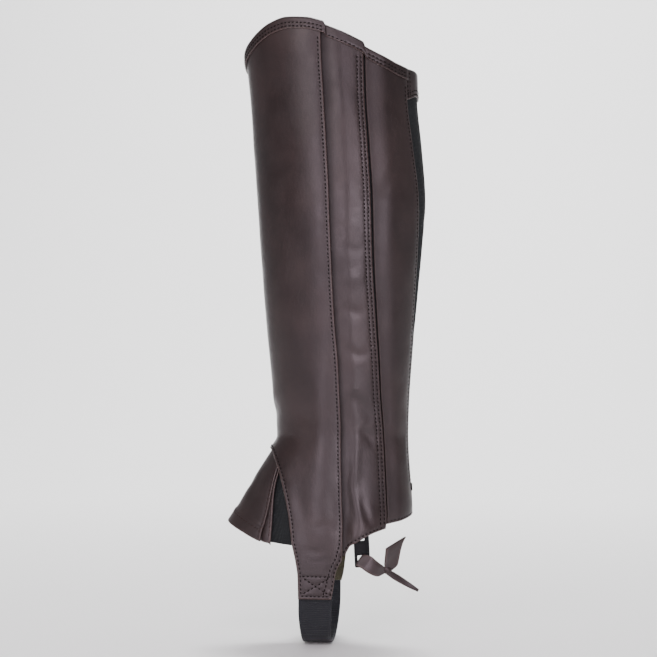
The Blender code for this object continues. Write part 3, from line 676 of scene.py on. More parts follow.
def panel(name, node, outline, skin, wall, looks, rows=(), extra=(),
          grid=2.2, tucked=None):
    """A wall cut to an outline of the pattern, with a groove along each row of stitches."""
    ring = np.vstack([even(line)[:-1] for line in outline])
    ring = ring[np.linalg.norm(ring - np.roll(ring, 1, axis=0), axis=1) > 0.25]
    skin.ring = ring
    lines = [even(row, ROW_STEP) for row in rows]
    spots = mesh_spots(ring, lines, [even(line) for line in extra], grid).tolist()
    size = len(ring)
    edges = [(i, (i + 1) % size) for i in range(size)]
    cut = delaunay_2d_cdt([Vector(spot) for spot in spots], edges, [list(range(size))], 1, 1e-5)
    flat, triangles = np.array([tuple(spot) for spot in cut[0]]), cut[2]
    angle, height = flat.T
    count = len(flat)
    rim = nearest(flat, ring, True)[0]
    sewn = np.min([np.full(count, UNSEWN)] + [nearest(flat, line)[0] for line in lines], axis=0)
    offset = skin(angle, height)
    groove = GROOVE * np.exp(-((sewn / GROOVE_WIDTH) ** 2))
    turn = 1 - np.sqrt(np.clip(1 - (1 - np.clip(rim / EDGE_ROUND, 0, 1)) ** 2, 0, 1))
    outer = on_leg(angle, height, offset - groove - OUTER_TURN * turn)
    inner = on_leg(angle, height, offset - wall + INNER_TURN * turn)
    sides = dict.fromkeys((t[i], t[(i + 1) % 3]) for t in triangles for i in range(3))
    rims = [(b, a, count + a, count + b) for a, b in sides if (b, a) not in sides]
    faces = [tuple(t) for t in triangles] + [tuple(count + i for i in reversed(t)) for t in triangles] + rims
    finish = [0] * len(triangles) + [1] * len(triangles) + [2] * len(rims)
    mesh = mesh_from(name, np.vstack((outer, inner)), faces, finish)
    # Painted shade beside an edge that laps over this panel; the looks also lighten the rims, as wear and as
    # a painted highlight, and paint shade along the rows.
    shade = np.zeros(count) if tucked is None else tucked(angle, height)
    note(mesh, rim=np.tile(np.minimum(rim, INLAND), 2), sewn=np.append(sewn, np.full(count, UNSEWN)),
         tucked=np.tile(shade, 2))
    piece = put(name, mesh, node, looks)
    a, b, c = on_leg(angle, height)[np.array(triangles)].transpose(1, 0, 2)
    wide, tall = cut_size(ring)


def stitches(name, rows, look, pitch=PITCH, length=STITCH, radius=THREAD, body="root"):
    """Short threads along rows, each a line and the skin that it is sewn on."""
    along = np.array([-1.0, -0.78, -0.3, 0.3, 0.78, 1.0])
    thick = np.array([0.45, 0.9, 1.0, 1.0, 0.9, 0.45]) * radius
    lift = np.array([-0.75, -0.3, -0.1, -0.1, -0.3, -0.75])
    turns = np.linspace(0, 2 * math.pi, 6, endpoint=False)[:, None]
    points = []
    for line, skin in rows:
        line = even(line, 0.8)
        at = travelled(form(*line.T))
        count = max(1, int(at[-1] / pitch))
        uneven, slack = np.random.default_rng(count).uniform(-1, 1, (2, count))[:, :, None]
        centres = (np.arange(count)[:, None] + 0.5 + 0.07 * uneven) * at[-1] / count
        stops = np.clip(centres + along * length / 2 * (1 + 0.14 * slack), 0, at[-1])
        angle, height = at_stops(stops, at, line)
        spine = on_leg(angle, height, skin(angle, height) + lift)
        out = normal(angle, height)
        across = unit(np.cross(out, np.gradient(spine, axis=1)))
        slant = (0.14 + 0.08 * uneven) * along + 0.07 * slack
        spine = spine + across * (slant * MM)[:, :, None]
        ring = np.cos(turns) * across[:, :, None] + np.sin(turns) * out[:, :, None]
        points.append((spine[:, :, None] + ring * (thick * MM)[:, None, None]).reshape(-1, 3))
    points = np.vstack(points)
    faces = []
    for start in range(0, len(points), len(along) * len(turns)):
        faces += tube_faces(len(along), len(turns), start)
    put(name, mesh_from(name, points, faces), None, [look], body)


def cap_depth(angle):
    """The cap's lower edge is level, while the top falls towards the back."""
    return CAP_DEPTH - 4.5 * ramp(np.abs(angle - BACK_SEAM), 26.0, 8.0)


def folded_section(outer, inner, depth, rows):
    """Places on the section of a binding: below its top, and outside the panel's face."""
    fold = depth - FOLD_SHORT
    middle, half = (outer + inner) / 2, (outer - inner) / 2
    profile = []
    for drop in np.arange(depth - 0.35, 2.0, -0.4):
        dip = sum(GROOVE * math.exp(-(((depth - drop - row) / GROOVE_WIDTH) ** 2)) for row in rows)
        profile.append((drop, outer - dip))
    for turn in np.radians(np.linspace(0, 180, 13)):
        profile.append((2.0 - 2.0 * math.sin(turn), middle + half * math.cos(turn)))
    profile += [(drop, inner) for drop in np.linspace(3.0, fold - 0.3, 8)]
    profile += [(fold, inner + 0.3), (fold, inner + BINDING), (depth * 0.4, inner + BINDING)]
    profile += [(BINDING + 0.4, inner + BINDING), (BINDING + 0.4, BAND_SLOT), (depth * 0.5, BAND_SLOT)]
    profile += [(depth, BAND_SLOT), (depth, outer - 0.35)]
    return np.array(profile).T


def binding(name, node, start, end, skin, wall, look, depth=BAND_DEPTH, rows=(2.0,), lift=None):
    """A strip of leather folded over the top edge of a panel, with rows of stitches above its edge."""
    outer, inner = BAND_SLOT + BINDING, -wall - BAND_SLOT - BINDING
    middle, half = (outer + inner) / 2, (outer - inner) / 2
    drops, outs = folded_section(outer, inner, depth, rows)
    count = max(8, int(abs(end - start) / 1.1))
    angles = np.linspace(start, end, count)
    ease = 0.16 * np.sin(np.radians(angles * 40)) * np.sin(np.radians(angles * 13))
    rings = []
    for angle, slack in zip(angles, ease):
        tight = 0.35 * (angle in (start, end))
        out = outs - tight * np.sign(outs - middle) * (np.abs(outs - middle) > half - 0.6)
        out = out + slack * ramp(drops, 2.0, depth) * (out > 0)
        drop = drops
        if lift is not None:
            drop = np.where(drop > 4.0, 4.0 + (drop - 4.0) * (lift(angle) - 4.0) / (depth - 4.0), drop)
        heights = top_line(angle) - drop - tight * (drop < 1.0)
        round_here = np.full(len(drop), angle)
        rings.append(on_leg(round_here, heights, skin(round_here, heights) + out))
    mesh = sweep_mesh(name, rings)
    # The binding's lower edges are lightened as wear and as a painted highlight, and its rows of stitches get
    # painted shade.
    gaps = np.min([np.abs(depth - drops - row) for row in rows], axis=0)
    note(mesh, rim=np.tile(np.clip(depth - drops, 0.0, 9.0), count),
         sewn=np.tile(np.where(outs > 0, gaps, UNSEWN), count))
    piece = put(name, mesh, node, [look])
    mesh.set_sharp_from_angle(angle=math.radians(40))


def band_rows(start, end, skin, depth=BAND_DEPTH, rows=(2.0,)):
    """The stitch lines of a binding, with the face they are sewn on."""
    def face(angle, height):
        return skin(angle, height) + BAND_SLOT + BINDING
    lines = []
    for row in rows:
        line = level(top_line, start, end)
        line[:, 1] += row - (depth(line[:, 0]) if callable(depth) else depth)
        lines.append((line, face))
    return lines


class Look:
    """A material made of nodes. Each method adds one and gives its output."""

    def __init__(self, name, stretch=(1.0, 1.0, 1.0)):
        self.material = bpy.data.materials.new(name)
        self.material.use_nodes = True
        self.tree = self.material.node_tree
        place = self.add("ShaderNodeTexCoord").outputs["Object"]
        self.place = self.add("ShaderNodeMapping", Vector=place, Scale=stretch).outputs["Vector"]

    def wire(self, node, sockets):
        """Links or sets sockets of a node by name, or by number as in n0."""
        for key, value in sockets.items():
            socket = node.inputs[int(key[1:]) if key[1:].isdigit() else key.replace("_", " ")]
            if isinstance(value, bpy.types.NodeSocket):
                self.tree.links.new(value, socket)
            else:
                socket.default_value = value
        return node

    def add(self, kind, settings=(), **sockets):
        node = self.tree.nodes.new(kind)
        for key, value in dict(settings).items():
            setattr(node, key, value)
        return self.wire(node, sockets)

    def attribute(self, name):
        return self.add("ShaderNodeAttribute", {"attribute_name": name}).outputs["Fac"]

    def noise(self, scale, detail=2.0, roughness=0.5):
        sockets = {"Vector": self.place, "Scale": scale, "Detail": detail, "Roughness": roughness}
        return self.add("ShaderNodeTexNoise", **sockets).outputs[0]

    def bands(self, direction, pitch, distortion):
        """Waves with a pitch in millimetres."""
        wave = {"wave_type": "BANDS", "bands_direction": direction}
        sockets = {"Vector": self.place, "Scale": 0.314 / (pitch * MM), "Distortion": distortion}
        return self.add("ShaderNodeTexWave", wave, **sockets).outputs[1]

    def maths(self, a, b, operation="MULTIPLY"):
        return self.add("ShaderNodeMath", {"operation": operation}, n0=a, n1=b).outputs[0]

    def spread(self, value, low, high, to_low=0.0, to_high=1.0):
        """Smooth step from to_low to to_high as the value goes from low to high."""
        smooth = {"interpolation_type": "SMOOTHSTEP"}
        ends = {"n1": low, "n2": high, "n3": to_low, "n4": to_high}
        return self.add("ShaderNodeMapRange", smooth, n0=value, **ends).outputs[0]

    def blended(self, factor, low, high):
        """Colour from low to high as the factor goes from 0 to 1."""
        low, high = (c if isinstance(c, bpy.types.NodeSocket) else (*c, 1.0) for c in (low, high))
        return self.add("ShaderNodeMix", {"data_type": "RGBA"}, n0=factor, n6=low, n7=high).outputs[2]

    def relief(self, height, strength, distance, **below):
        """Bumps of a height, laid over the bumps below if any."""
        sockets = {"Strength": strength, "Distance": distance, "Height": height}
        return self.add("ShaderNodeBump", **sockets, **below).outputs[0]

    def surface(self, **sockets):
        self.wire(self.tree.nodes["Principled BSDF"], sockets)
        return self.material


def leather_look(name, dark, light, rim_wear_and_highlight, roughness=0.37):
    """Smooth leather: mottled brown, fine grain, rims lightened as rubbed wear and as a painted highlight,
    painted shade along the rows of stitches and beside lapping edges, and a soft shine.
    """
    look = Look(name)
    blotch = look.noise(16.0, 5.0, 0.6)
    speck = look.noise(420.0, 3.0, 0.7)
    streak = look.noise(60.0, 4.0, 0.6)
    pull = look.noise(230.0, 5.0, 0.65)
    pores = look.add("ShaderNodeTexVoronoi", {"feature": "SMOOTH_F1"}, Vector=look.place, Scale=1500.0)
    rim, sewn, tucked = (look.attribute(row) for row in ("rim", "sewn", "tucked"))
    tone = look.maths(look.spread(blotch, 0.35, 0.68), look.spread(speck, 0.2, 0.8, 0.75, 1.0))
    # Lighter towards the rims: partly rubbed wear, partly a painted highlight where the edges catch the
    # light.
    worn = look.maths(look.spread(rim, 0.2, 1.6, 1.0, 0.0), look.spread(speck, 0.3, 0.7, 0.4, 1.0))
    colour = look.blended(worn, look.blended(tone, dark, light), rim_wear_and_highlight)
    # Painted shade along the rows of stitches, where they sink into the leather.
    colour = look.blended(look.spread(sewn, 0.3, 1.4, 0.12, 0.0), colour, [c * 0.45 for c in dark])
    # Painted shade beside an edge that laps over the panel; the same mask also makes the leather there
    # rougher.
    colour = look.blended(look.maths(tucked, 0.6), colour, [c * 0.3 for c in dark])
    rough = look.spread(streak, 0.3, 0.7, roughness - 0.05, roughness + 0.07)
    return look.surface(
        Base_Color=colour,
        Roughness=look.maths(rough, look.maths(tucked, 0.35), "ADD"),
        Normal=look.relief(pores.outputs[0], 0.16, 0.0002, Normal=look.relief(pull, 0.22, 0.0006)),
        IOR=1.45,
        Specular_Tint=(1.0, 0.9, 0.96, 1.0),
        Coat_Weight=0.1,
        Coat_Roughness=0.3,
    )


def flesh_look():
    """The napped olive-brown back of the leather."""
    look = Look("leather_back")
    nap = look.noise(900.0, 4.0, 0.75)
    patch = look.noise(35.0, 3.0)
    tone = look.maths(look.spread(nap, 0.3, 0.7), look.spread(patch, 0.3, 0.7, 0.5, 1.0))
    return look.surface(
        Base_Color=look.blended(tone, (0.028, 0.024, 0.012), (0.075, 0.066, 0.036)),
        Normal=look.relief(nap, 0.5, 0.0005),
        Roughness=0.95,
        Sheen_Weight=0.15,
        Sheen_Roughness=0.6,
    )


def edge_look():
    """The cut edge of the leather, stained dark."""
    look = Look("leather_cut_edge", (1.0, 1.0, 3.0))
    fibre = look.noise(700.0, 3.0)
    return look.surface(
        Base_Color=look.blended(fibre, (0.014, 0.010, 0.009), (0.045, 0.030, 0.026)),
        Normal=look.relief(fibre, 0.4, 0.0003),
        Roughness=0.7,
    )


def woven_look(name, low, high, pitch_up, pitch_round, sheen):
    """Woven elastic or tape: ribs across it and finer threads along it."""
    look = Look(name)
    ribs = look.bands("Z", pitch_up, 0.6)
    threads = look.bands("DIAGONAL", pitch_round, 1.0)
    dust = look.spread(look.noise(60.0, 6.0, 0.7), 0.3, 0.7, 0.4, 1.0)
    return look.surface(
        Base_Color=look.blended(look.maths(look.maths(ribs, threads), dust), low, high),
        Normal=look.relief(threads, 0.35, 0.0002, Normal=look.relief(ribs, 0.5, 0.0003)),
        Roughness=0.85,
        IOR=1.3,
        Sheen_Weight=sheen,
        Sheen_Roughness=0.5,
    )


def thread_look(name, low, high):
    look = Look(name)
    twist = look.noise(1500.0)
    relief = look.relief(twist, 0.5, 0.0002)
    return look.surface(Base_Color=look.blended(twist, low, high), Normal=relief, Roughness=0.8, IOR=1.25)


def metal_look():
    look = Look("black_coated_metal")
    worn = look.noise(350.0, 6.0, 0.7)
    return look.surface(
        Base_Color=look.blended(look.spread(worn, 0.55, 0.8), (0.006, 0.006, 0.008), (0.022, 0.022, 0.025)),
        Roughness=look.spread(worn, 0.3, 0.7, 0.34, 0.5),
        Normal=look.relief(worn, 0.12, 0.0002),
        IOR=1.3,
        Specular_IOR_Level=0.25,
    )


def set_camera():
    """Camera at the photo's angle, on the middle of the picture."""
    turn, distance, sensor = math.radians(6), 1.5, 36
    camera = bpy.data.cameras.new("camera")
    camera.sensor_width = sensor
    camera.lens = sensor * distance / (IMAGE_SIDE * PIXEL)
    eye = linked("camera", camera)
    middle = Vector((-0.01005, 0, 0.2496 - HOLD_HEIGHT * MM))
    eye.location = middle + distance * Vector((math.sin(turn), -math.cos(turn), 0))
    eye.rotation_euler = (math.radians(90), 0, turn)
    bpy.context.scene.camera = eye


def set_backdrop():
    """A pale floor that bends up into a backdrop."""
    floor, bend, half_width = cad_box[0][2] - 0.0004, 1.2, 1.7
    line = [(-4.0, floor), (bend, floor)]
    for turn in np.linspace(0.1, math.pi / 2, 16):
        line.append((bend + bend * math.sin(turn), floor + bend * (1 - math.cos(turn))))
    line.append((2 * bend, 4.5))
    points = [(x, y, z) for x in (-half_width, half_width) for y, z in line]
    size = len(line)
    mesh = mesh_from("backdrop", points, [(i, size + i, size + i + 1, i + 1) for i in range(size - 1)])
    look = Look("pale_backdrop")
    mesh.materials.append(look.surface(
        Base_Color=look.blended(look.noise(3.0), (0.86, 0.86, 0.86), (0.88, 0.88, 0.88)),
        Roughness=0.9,
    ))
    mesh.shade_smooth()
    linked("backdrop", mesh)


Lamp = namedtuple("Lamp", "name place aim wide tall power colour")
LAMPS = [
    Lamp("key_high", (-1.0, -1.73, 0.65), (0.0, 0.0, 0.0), 0.75, 0.64, 7.6, (1.0, 0.93, 0.9)),
    Lamp("low_left", (-0.62, -1.9, -0.03), (0.0, 0.0, -0.15), 0.5, 0.64, 7.6, (1.0, 0.88, 0.97)),
    Lamp("low_right", (0.6, -1.91, -0.03), (0.0, 0.0, -0.15), 0.78, 0.64, 14.0, (1.0, 0.9, 0.97)),
    Lamp("pool", (0.11, -1.1, 0.75), (0.11, -1.1, -1.0), 0.4, 0.4, 8.0, (1.0, 0.88, 0.97)),
    Lamp("top", (0.0, 0.4, 2.4), (0.0, 0.7, 0.0), 2.0, 1.2, 16.0, (1.0, 1.0, 1.0)),
    Lamp("wall", (0.0, 1.35, 2.2), (0.0, 2.4, 0.1), 1.4, 0.6, 120.0, (1.0, 1.0, 1.0)),
]


def set_lights():
    """A grey world and soft studio lamps."""
    world = bpy.context.scene.world or bpy.data.worlds.new("studio")
    bpy.context.scene.world = world
    world.use_nodes = True
    sky = world.node_tree.nodes["Background"].inputs
    sky["Color"].default_value = (0.98, 0.97, 1.0, 1.0)
    sky["Strength"].default_value = 0.4
    for lamp in LAMPS:
        light = bpy.data.lights.new(lamp.name, "AREA")
        light.shape = "RECTANGLE"
        light.size, light.size_y = lamp.wide, lamp.tall
        light.energy = lamp.power
        light.color = lamp.colour
        holder = linked(lamp.name, light)
        holder.location = lamp.place
        aim = Vector(lamp.aim) - Vector(lamp.place)
        holder.rotation_euler = aim.to_track_quat("-Z", "Y").to_euler()


set_camera()
set_backdrop()
set_lights()

upper = leather_look(
    "brown_leather", (0.0125, 0.0068, 0.0064), (0.0255, 0.0148, 0.0138), (0.058, 0.036, 0.032))
# A copy of the leather for the rear panel, its binding, the back cap and the flare: a little darker in its
# light tone as painted shade, with a weaker painted highlight on its rims, and rougher.
shaded_leather = leather_look(
    "brown_leather_shaded", (0.0125, 0.0070, 0.0064), (0.024, 0.0145, 0.0132), (0.045, 0.028, 0.025), 0.45)
flesh = flesh_look()
cut_edge = edge_look()
gusset_cloth = woven_look("black_elastic", (0.007, 0.008, 0.009), (0.032, 0.035, 0.037), 1.1, 0.7, 0.0)
strap_cloth = woven_look("black_strap_elastic", (0.014, 0.015, 0.018), (0.038, 0.040, 0.048), 0.78, 0.6, 0.1)
tape_cloth = woven_look("black_zip_tape", (0.005, 0.006, 0.007), (0.025, 0.027, 0.030), 0.8, 0.8, 0.15)
thread = thread_look("dark_brown_thread", (0.004, 0.0025, 0.0025), (0.012, 0.008, 0.0075))
pale_thread = thread_look("brown_thread", (0.022, 0.013, 0.012), (0.05, 0.031, 0.028))
metal = metal_look()
LEATHER_LOOKS = [upper, flesh, cut_edge]
REAR_LOOKS = [shaded_leather, flesh, cut_edge]
ELASTIC_LOOKS = [gusset_cloth] * 3
TAPE_LOOKS = [tape_cloth] * 3


def make_shell():
    top, tab_corner = 486.0, shell_edge(TAB_END)
    seam_foot = float(ARCH(-FRONT_SEAM))
    skin = Skin(shell_face, [
        (1.1, 9.5, [(76, 222), (78, 194), (77, 162), (81, 131), (83, 104), (84, 84), (85, 62)]),
        (-0.7, 6.5, [(66, 128), (72, 108), (77, 88), (79, 66)]),
        (-0.5, 3.6, [(91, 126), (92, 108), (92, 88)]),
        (-0.4, 6.0, [(52, 190), (64, 178), (76, 176)]),
        (-0.35, 10.0, [(60, 300), (66, 260), (62, 220)]),
        (0.3, 12.0, [(76, 420), (78, 360), (74, 300)]),
        (-0.6, 5.0, [(-4, 186), (12, 181), (30, 186)]),
        (-0.5, 5.0, [(-24, 176), (-10, 172), (4, 174)]),
        (0.4, 6.0, [(-20, 196), (0, 194), (24, 198)]),
        (-0.35, 2.4, [(78.5, 78), (83, 74.5), (88, 76.5)]),
        (-0.3, 2.0, [(80, 70), (84, 67.5), (90, 70)]),
        (-0.4, 3.0, [(83, 92), (87, 96), (92, 94)]),
    ], 0.16, 1)
    outline = [
        level(top_line, FRONT_SEAM, shell_edge(top), -PANEL_DROP),
        upright(shell_edge, top - 3.0, TAB_END),
        straight((tab_corner, TAB_END), (ARCH_END, TAB_END)),
        even(level(ARCH, FRONT_SEAM, ARCH_END))[::-1],
        upright(FRONT_SEAM, seam_foot, panel_top(FRONT_SEAM)),
    ]
    edge = even(upright(shell_edge, 476.0, TAB_END + 2.2))
    rear = beside(edge, 2.3 + 2.6 * (1 - ramp(edge[:, 1], 70.0, 84.0)))
    layer = beside(edge[edge[:, 1] < 74.0], 1.35)
    front = hem_row(ARCH, FRONT_SEAM + 2.0, ARCH_END, -2.3)
    front = front[front[:, 1] > TAB_END + 2.0]
    seam = upright(FRONT_SEAM + 2.3, seam_foot + 2.0, 443.0)
    left, right, low, high = ARCH_END + 1.0, 90.4, TAB_END + 2.4, TAB_END + 17.8
    box = [
        straight((left, low), (right, low)),
        straight((left, high), (right + 1.2, high)),
        straight((left + 1.0, low + 1.6), (right - 0.6, high - 1.4)),
        straight((left + 1.0, high - 1.4), (right - 0.6, low + 1.6)),
    ]
    rows = [rear, layer, front, seam] + [even(line, FINE_STEP) for line in box]
    panel("front_shell", "shell_front", outline, skin, LEATHER, LEATHER_LOOKS, rows)
    stitches("front_shell_sewing", [(row, skin) for row in rows], thread)


def make_guard():
    first, last = 91.1, 116.5
    lap_top = band_foot(90.0, 1.8)
    skin = Skin(guard_face, [
        (0.85, 4.0, [
            (108, 172), (107.4, 155), (106.6, 138), (105, 126), (108, 114), (111.2, 103), (115.5, 92)]),
        (-0.5, 3.2, [(102, 146), (100.6, 128), (102.6, 114), (106, 101), (108, 90)]),
        (-0.6, 3.2, [(112, 118), (114.5, 108), (117.8, 100), (121, 94)]),
        (-0.9, 6.0, [(103, 199), (108.5, 192), (116, 185), (123, 176)]),
        (-0.6, 4.8, [(111, 172), (115.5, 168), (120.5, 162), (124, 156)]),
        (-0.5, 4.0, [(96, 268), (104, 262), (113, 263)]),
        (-0.45, 4.0, [(94, 316), (103, 310), (112, 312)]),
        (0.4, 5.0, [(95, 292), (104, 288), (113, 290)]),
        (-0.5, 3.5, [(97, 236), (107, 229), (118, 231)]),
        (0.35, 6.0, [(97, 440), (103, 425), (108, 400)]),
    ], 0.14, 2)
    outline = [
        level(top_line, first, last, -PANEL_DROP),
        upright(guard_edge, float(top_line(last)) - 2.0, 93.5),
        level(guard_hem, 134.7, 99.9),
        upright(shell_edge, 73.0, lap_top, -LAP),
        straight((shell_edge(lap_top) - LAP, lap_top), (first, lap_top), (first, panel_top(first))),
    ]
    rows = [edge_row(guard_edge, 461.0, 96.0, inset) for inset in (2.1, 5.2)]
    rows.append(hem_row(guard_hem, 132.0, 101.5, 1.9))

    # Painted shade on the guard beside the shell's lapping edge, wider towards the top.
    def tucked(angle, height):
        return 1 - ramp(angle - shell_edge(height), 0.5, 5.0 + 3.0 * ramp(height, 330.0, 450.0))
    panel("zip_guard_strip", "zip_guard", outline, skin, LIGHT_LEATHER, LEATHER_LOOKS, rows,
          grid=1.7, tucked=tucked)
    stitches("zip_guard_sewing", [(row, skin) for row in rows], thread)


def make_rear():
    first, last = 118.0, float(elastic_edge(452.0))
    skin = Skin(rear_face, [
        (0.35, 3.0, [(117.5, 362), (128, 377), (139, 393)]),
        (-0.4, 4.0, [(121, 352), (131, 366), (143, 380)]),
        (-0.5, 6.0, [(140, 172), (154, 164), (170, 168)]),
        (0.4, 6.0, [(142, 150), (156, 143), (170, 148)]),
        (-0.35, 5.0, [(138, 214), (150, 206), (164, 212)]),
        (-0.4, 9.0, [(148, 420), (142, 360), (145, 300)]),
    ], 0.12, 3)
    outline = [
        level(top_line, first, last, -PANEL_DROP),
        upright(elastic_edge, 452.0, 123.0),
        upright(BACK_SEAM, 121.0, BACK_HEM),
        level(rear_hem, BACK_SEAM, rear_edge_front(96.0)),
        upright(rear_edge_front, 96.0, panel_top(first)),
    ]
    rows = [edge_row(elastic_edge, 440.0, 128.0, 2.2), hem_row(rear_hem, 178.0, 140.0, 2.0)]

    # Painted shade on the rear panel beside the guard's lapping edge.
    def tucked(angle, height):
        return 0.8 * (1 - ramp(angle - guard_edge(height), 0.5, 5.0))
    panel("rear_outer_panel", "panel_rear", outline, skin, LEATHER, REAR_LOOKS, rows,
          tucked=tucked)
    stitches("rear_outer_sewing", [(row, skin) for row in rows], thread, radius=FINE_THREAD)


def make_inner():
    seam, lap = FRONT_SEAM - 0.5, FRONT_SEAM + LAP
    lap_top, lap_end = band_foot(seam, 1.8), float(ARCH(-lap)) + 1.0
    tab_front, tab_back = 76.3, float(inner_edge(INNER_TAB_END))
    skin = Skin(inner_face, [
        (-0.9, 6.0, [(-60, 196), (-76, 186), (-94, 190)]),
        (0.7, 6.0, [(-62, 180), (-80, 168), (-100, 172)]),
        (-1.0, 6.0, [(-70, 160), (-88, 148), (-108, 152)]),
        (-0.7, 5.0, [(-104, 186), (-122, 176), (-142, 184)]),
        (0.6, 6.0, [(-112, 150), (-130, 138), (-150, 142)]),
        (-0.6, 6.0, [(-78, 124), (-84, 104), (-88, 84)]),
        (0.5, 6.0, [(-92, 126), (-96, 108), (-104, 96)]),
        (-0.5, 7.0, [(-50, 238), (-64, 228), (-80, 232)]),
        (-0.5, 12.0, [(-70, 420), (-76, 350), (-72, 280)]),
        (0.45, 14.0, [(-110, 410), (-104, 350), (-108, 290)]),
    ], 0.17, 4)
    outline = [
        level(top_line, -float(elastic_edge(452.0)), seam, -PANEL_DROP),
        straight((seam, panel_top(seam)), (seam, lap_top), (lap, lap_top)),
        upright(lap, lap_top, lap_end),
        straight((lap, lap_end), (seam, float(ARCH(-seam)))),
        mirrored(even(level(ARCH, -seam, tab_front), ROW_STEP))[::-1],
        straight((-tab_front, INNER_TAB_END), (-tab_back, INNER_TAB_END)),
        mirrored(upright(inner_edge, 72.5, INNER_TAB_END)),
        level(inner_hem, -95.5, -BACK_SEAM),
        upright(-BACK_SEAM, BACK_HEM, 121.0),
        mirrored(upright(elastic_edge, 445.0, 123.0)),
    ]
    front = beside(mirrored(even(level(ARCH, -seam + 2.0, tab_front), ROW_STEP)), -2.3)
    rows = [
        beside(mirrored(even(upright(elastic_edge, 440.0, 128.0))), 2.2),
        hem_row(inner_hem, -178.0, -97.5, -2.0),
        beside(mirrored(even(upright(inner_edge, 72.0, INNER_TAB_END + 2.2))), 2.2),
        front[front[:, 1] > INNER_TAB_END + 2.0],
    ]
    panel("inner_side_panel", "panel_inner", outline, skin, LEATHER, LEATHER_LOOKS, rows)
    stitches("inner_side_sewing", [(row, skin) for row in rows], thread)


def make_back_elastic():
    low, far = 118.0, 2 * BACK_SEAM - CAP_EDGE
    neck = band_foot(far, 1.6)
    skin = Skin(elastic_face, [
        (-0.3, 4.0, [(165, 250), (180, 246), (195, 251)]),
        (-0.3, 4.0, [(163, 330), (180, 335), (197, 329)]),
    ], 0.06, 5)
    side = np.vstack((
        upright(elastic_edge, neck, low + 6.0, 1.0 - LAP),
        straight((BACK_SEAM - LAP, low), (BACK_SEAM, low)),
    ))
    far_side = mirrored(side, BACK_SEAM)
    outline = [
        straight((CAP_EDGE, panel_top(CAP_EDGE)), (CAP_EDGE, neck), (side[0, 0], neck)),
        side,
        far_side,
        straight((far_side[-1, 0], neck), (far, neck), (far, panel_top(far))),
        level(top_line, far, CAP_EDGE, -PANEL_DROP),
    ]
    lap_line = upright(elastic_edge, low + 14.0, neck - 3.0, 0.6)
    panel("back_elastic", "elastic_back", outline, skin, ELASTIC, ELASTIC_LOOKS,
          extra=[lap_line, mirrored(lap_line, BACK_SEAM)[::-1]])
    return skin


def make_cap(skin):
    """The leather folded over the top of the back elastic."""
    far, rows = 2 * BACK_SEAM - CAP_EDGE, (2.0, 5.0)
    binding("back_elastic_cap", "elastic_cap", CAP_EDGE, far, skin, ELASTIC, shaded_leather,
            CAP_DEPTH, rows, cap_depth)
    sewing = band_rows(CAP_EDGE + 1.5, far - 1.5, skin, cap_depth, rows)
    face = sewing[0][1]
    for angle in (CAP_EDGE + 2.6, far - 2.6, CAP_EDGE + 6.0, far - 6.0):
        top = float(top_line(angle))
        sewing.append((upright(angle, top - cap_depth(angle) + 2.0, top - 2.5), face))
    stitches("back_cap_sewing", sewing, thread)


def make_bar_tack(skin):
    """Close stitches across the back seam, under the foot of the back elastic."""
    low, step, half_turn, bar, spacing = 121.2, 0.62, 4.6, 8.6, 9.0

    def raised(angle, height):
        return skin(angle, height) + 2.9
    bars = []
    for height in low + step * np.arange(9):
        bars.append((straight((BACK_SEAM - half_turn, height), (BACK_SEAM + half_turn, height)), raised))
    stitches("bar_tack", bars, thread, spacing, bar, 0.42)


def make_bindings():
    """A binding for each panel, with the first and last angle of its sewing."""
    Band = namedtuple("Band", "name face wall look start end first last rows")
    bands = [
        Band("front", shell_face, LEATHER, upper, FRONT_SEAM, 91.2, FRONT_SEAM + 1.0, 89.8, (1.8, 4.6)),
        Band("guard", guard_face, LIGHT_LEATHER, upper, 90.0, 117.1, 92.0, 115.5, (1.6,)),
        Band("rear", rear_face, LEATHER, shaded_leather, 117.2, 154.6, 119.0, 152.0, (1.8, 4.6)),
        Band("inner", inner_face, LEATHER, upper, -154.6, FRONT_SEAM + 0.8,
             -152.0, FRONT_SEAM - 1.5, (1.8, 4.6)),
    ]
    sewing = []
    for band in bands:
        skin = Skin(band.face)
        binding(f"top_band_{band.name}", f"band_{band.name}", band.start, band.end, skin, band.wall,
                band.look, rows=band.rows)
        sewing += band_rows(band.first, band.last, skin, rows=band.rows)
    stitches("top_band_sewing", sewing, thread)


def make_flare():
    skin = Skin(flare_face, [
        (-0.6, 5.0, [(-20, 132), (-4, 126), (16, 131)]),
        (-0.4, 6.0, [(22, 140), (27, 124), (30, 108)]),
        (0.4, 7.0, [(-34, 136), (-36, 120), (-38, 108)]),
    ], 0.12, 6)
    end = float(flare_edge(82.0))
    side = upright(flare_edge, 149.0, 82.0)
    angles = np.linspace(-36, 36, 80)
    crown = np.stack((angles, ARCH(np.abs(angles)) + LAP + 1.0), axis=1)
    outline = [side, level(FLARE_HEM, end, -end), mirrored(side), crown]
    edge = upright(flare_edge, 140.0, 85.0)
    rows = [level(FLARE_HEM, -51.0, 51.0, HEM_FOLD - 1.7)]
    rows += [beside(even(line), 2.2) for line in (edge, mirrored(edge))]
    steps = [level(FLARE_HEM, -53.0, 53.0, HEM_FOLD + lift) for lift in (-0.15, 0.3, 0.9)]
    panel("instep_flare", "flare", outline, skin, LIGHT_LEATHER, REAR_LOOKS, rows, steps, 1.8)
    stitches("instep_flare_sewing", [(row, skin) for row in rows], pale_thread, radius=FINE_THREAD)


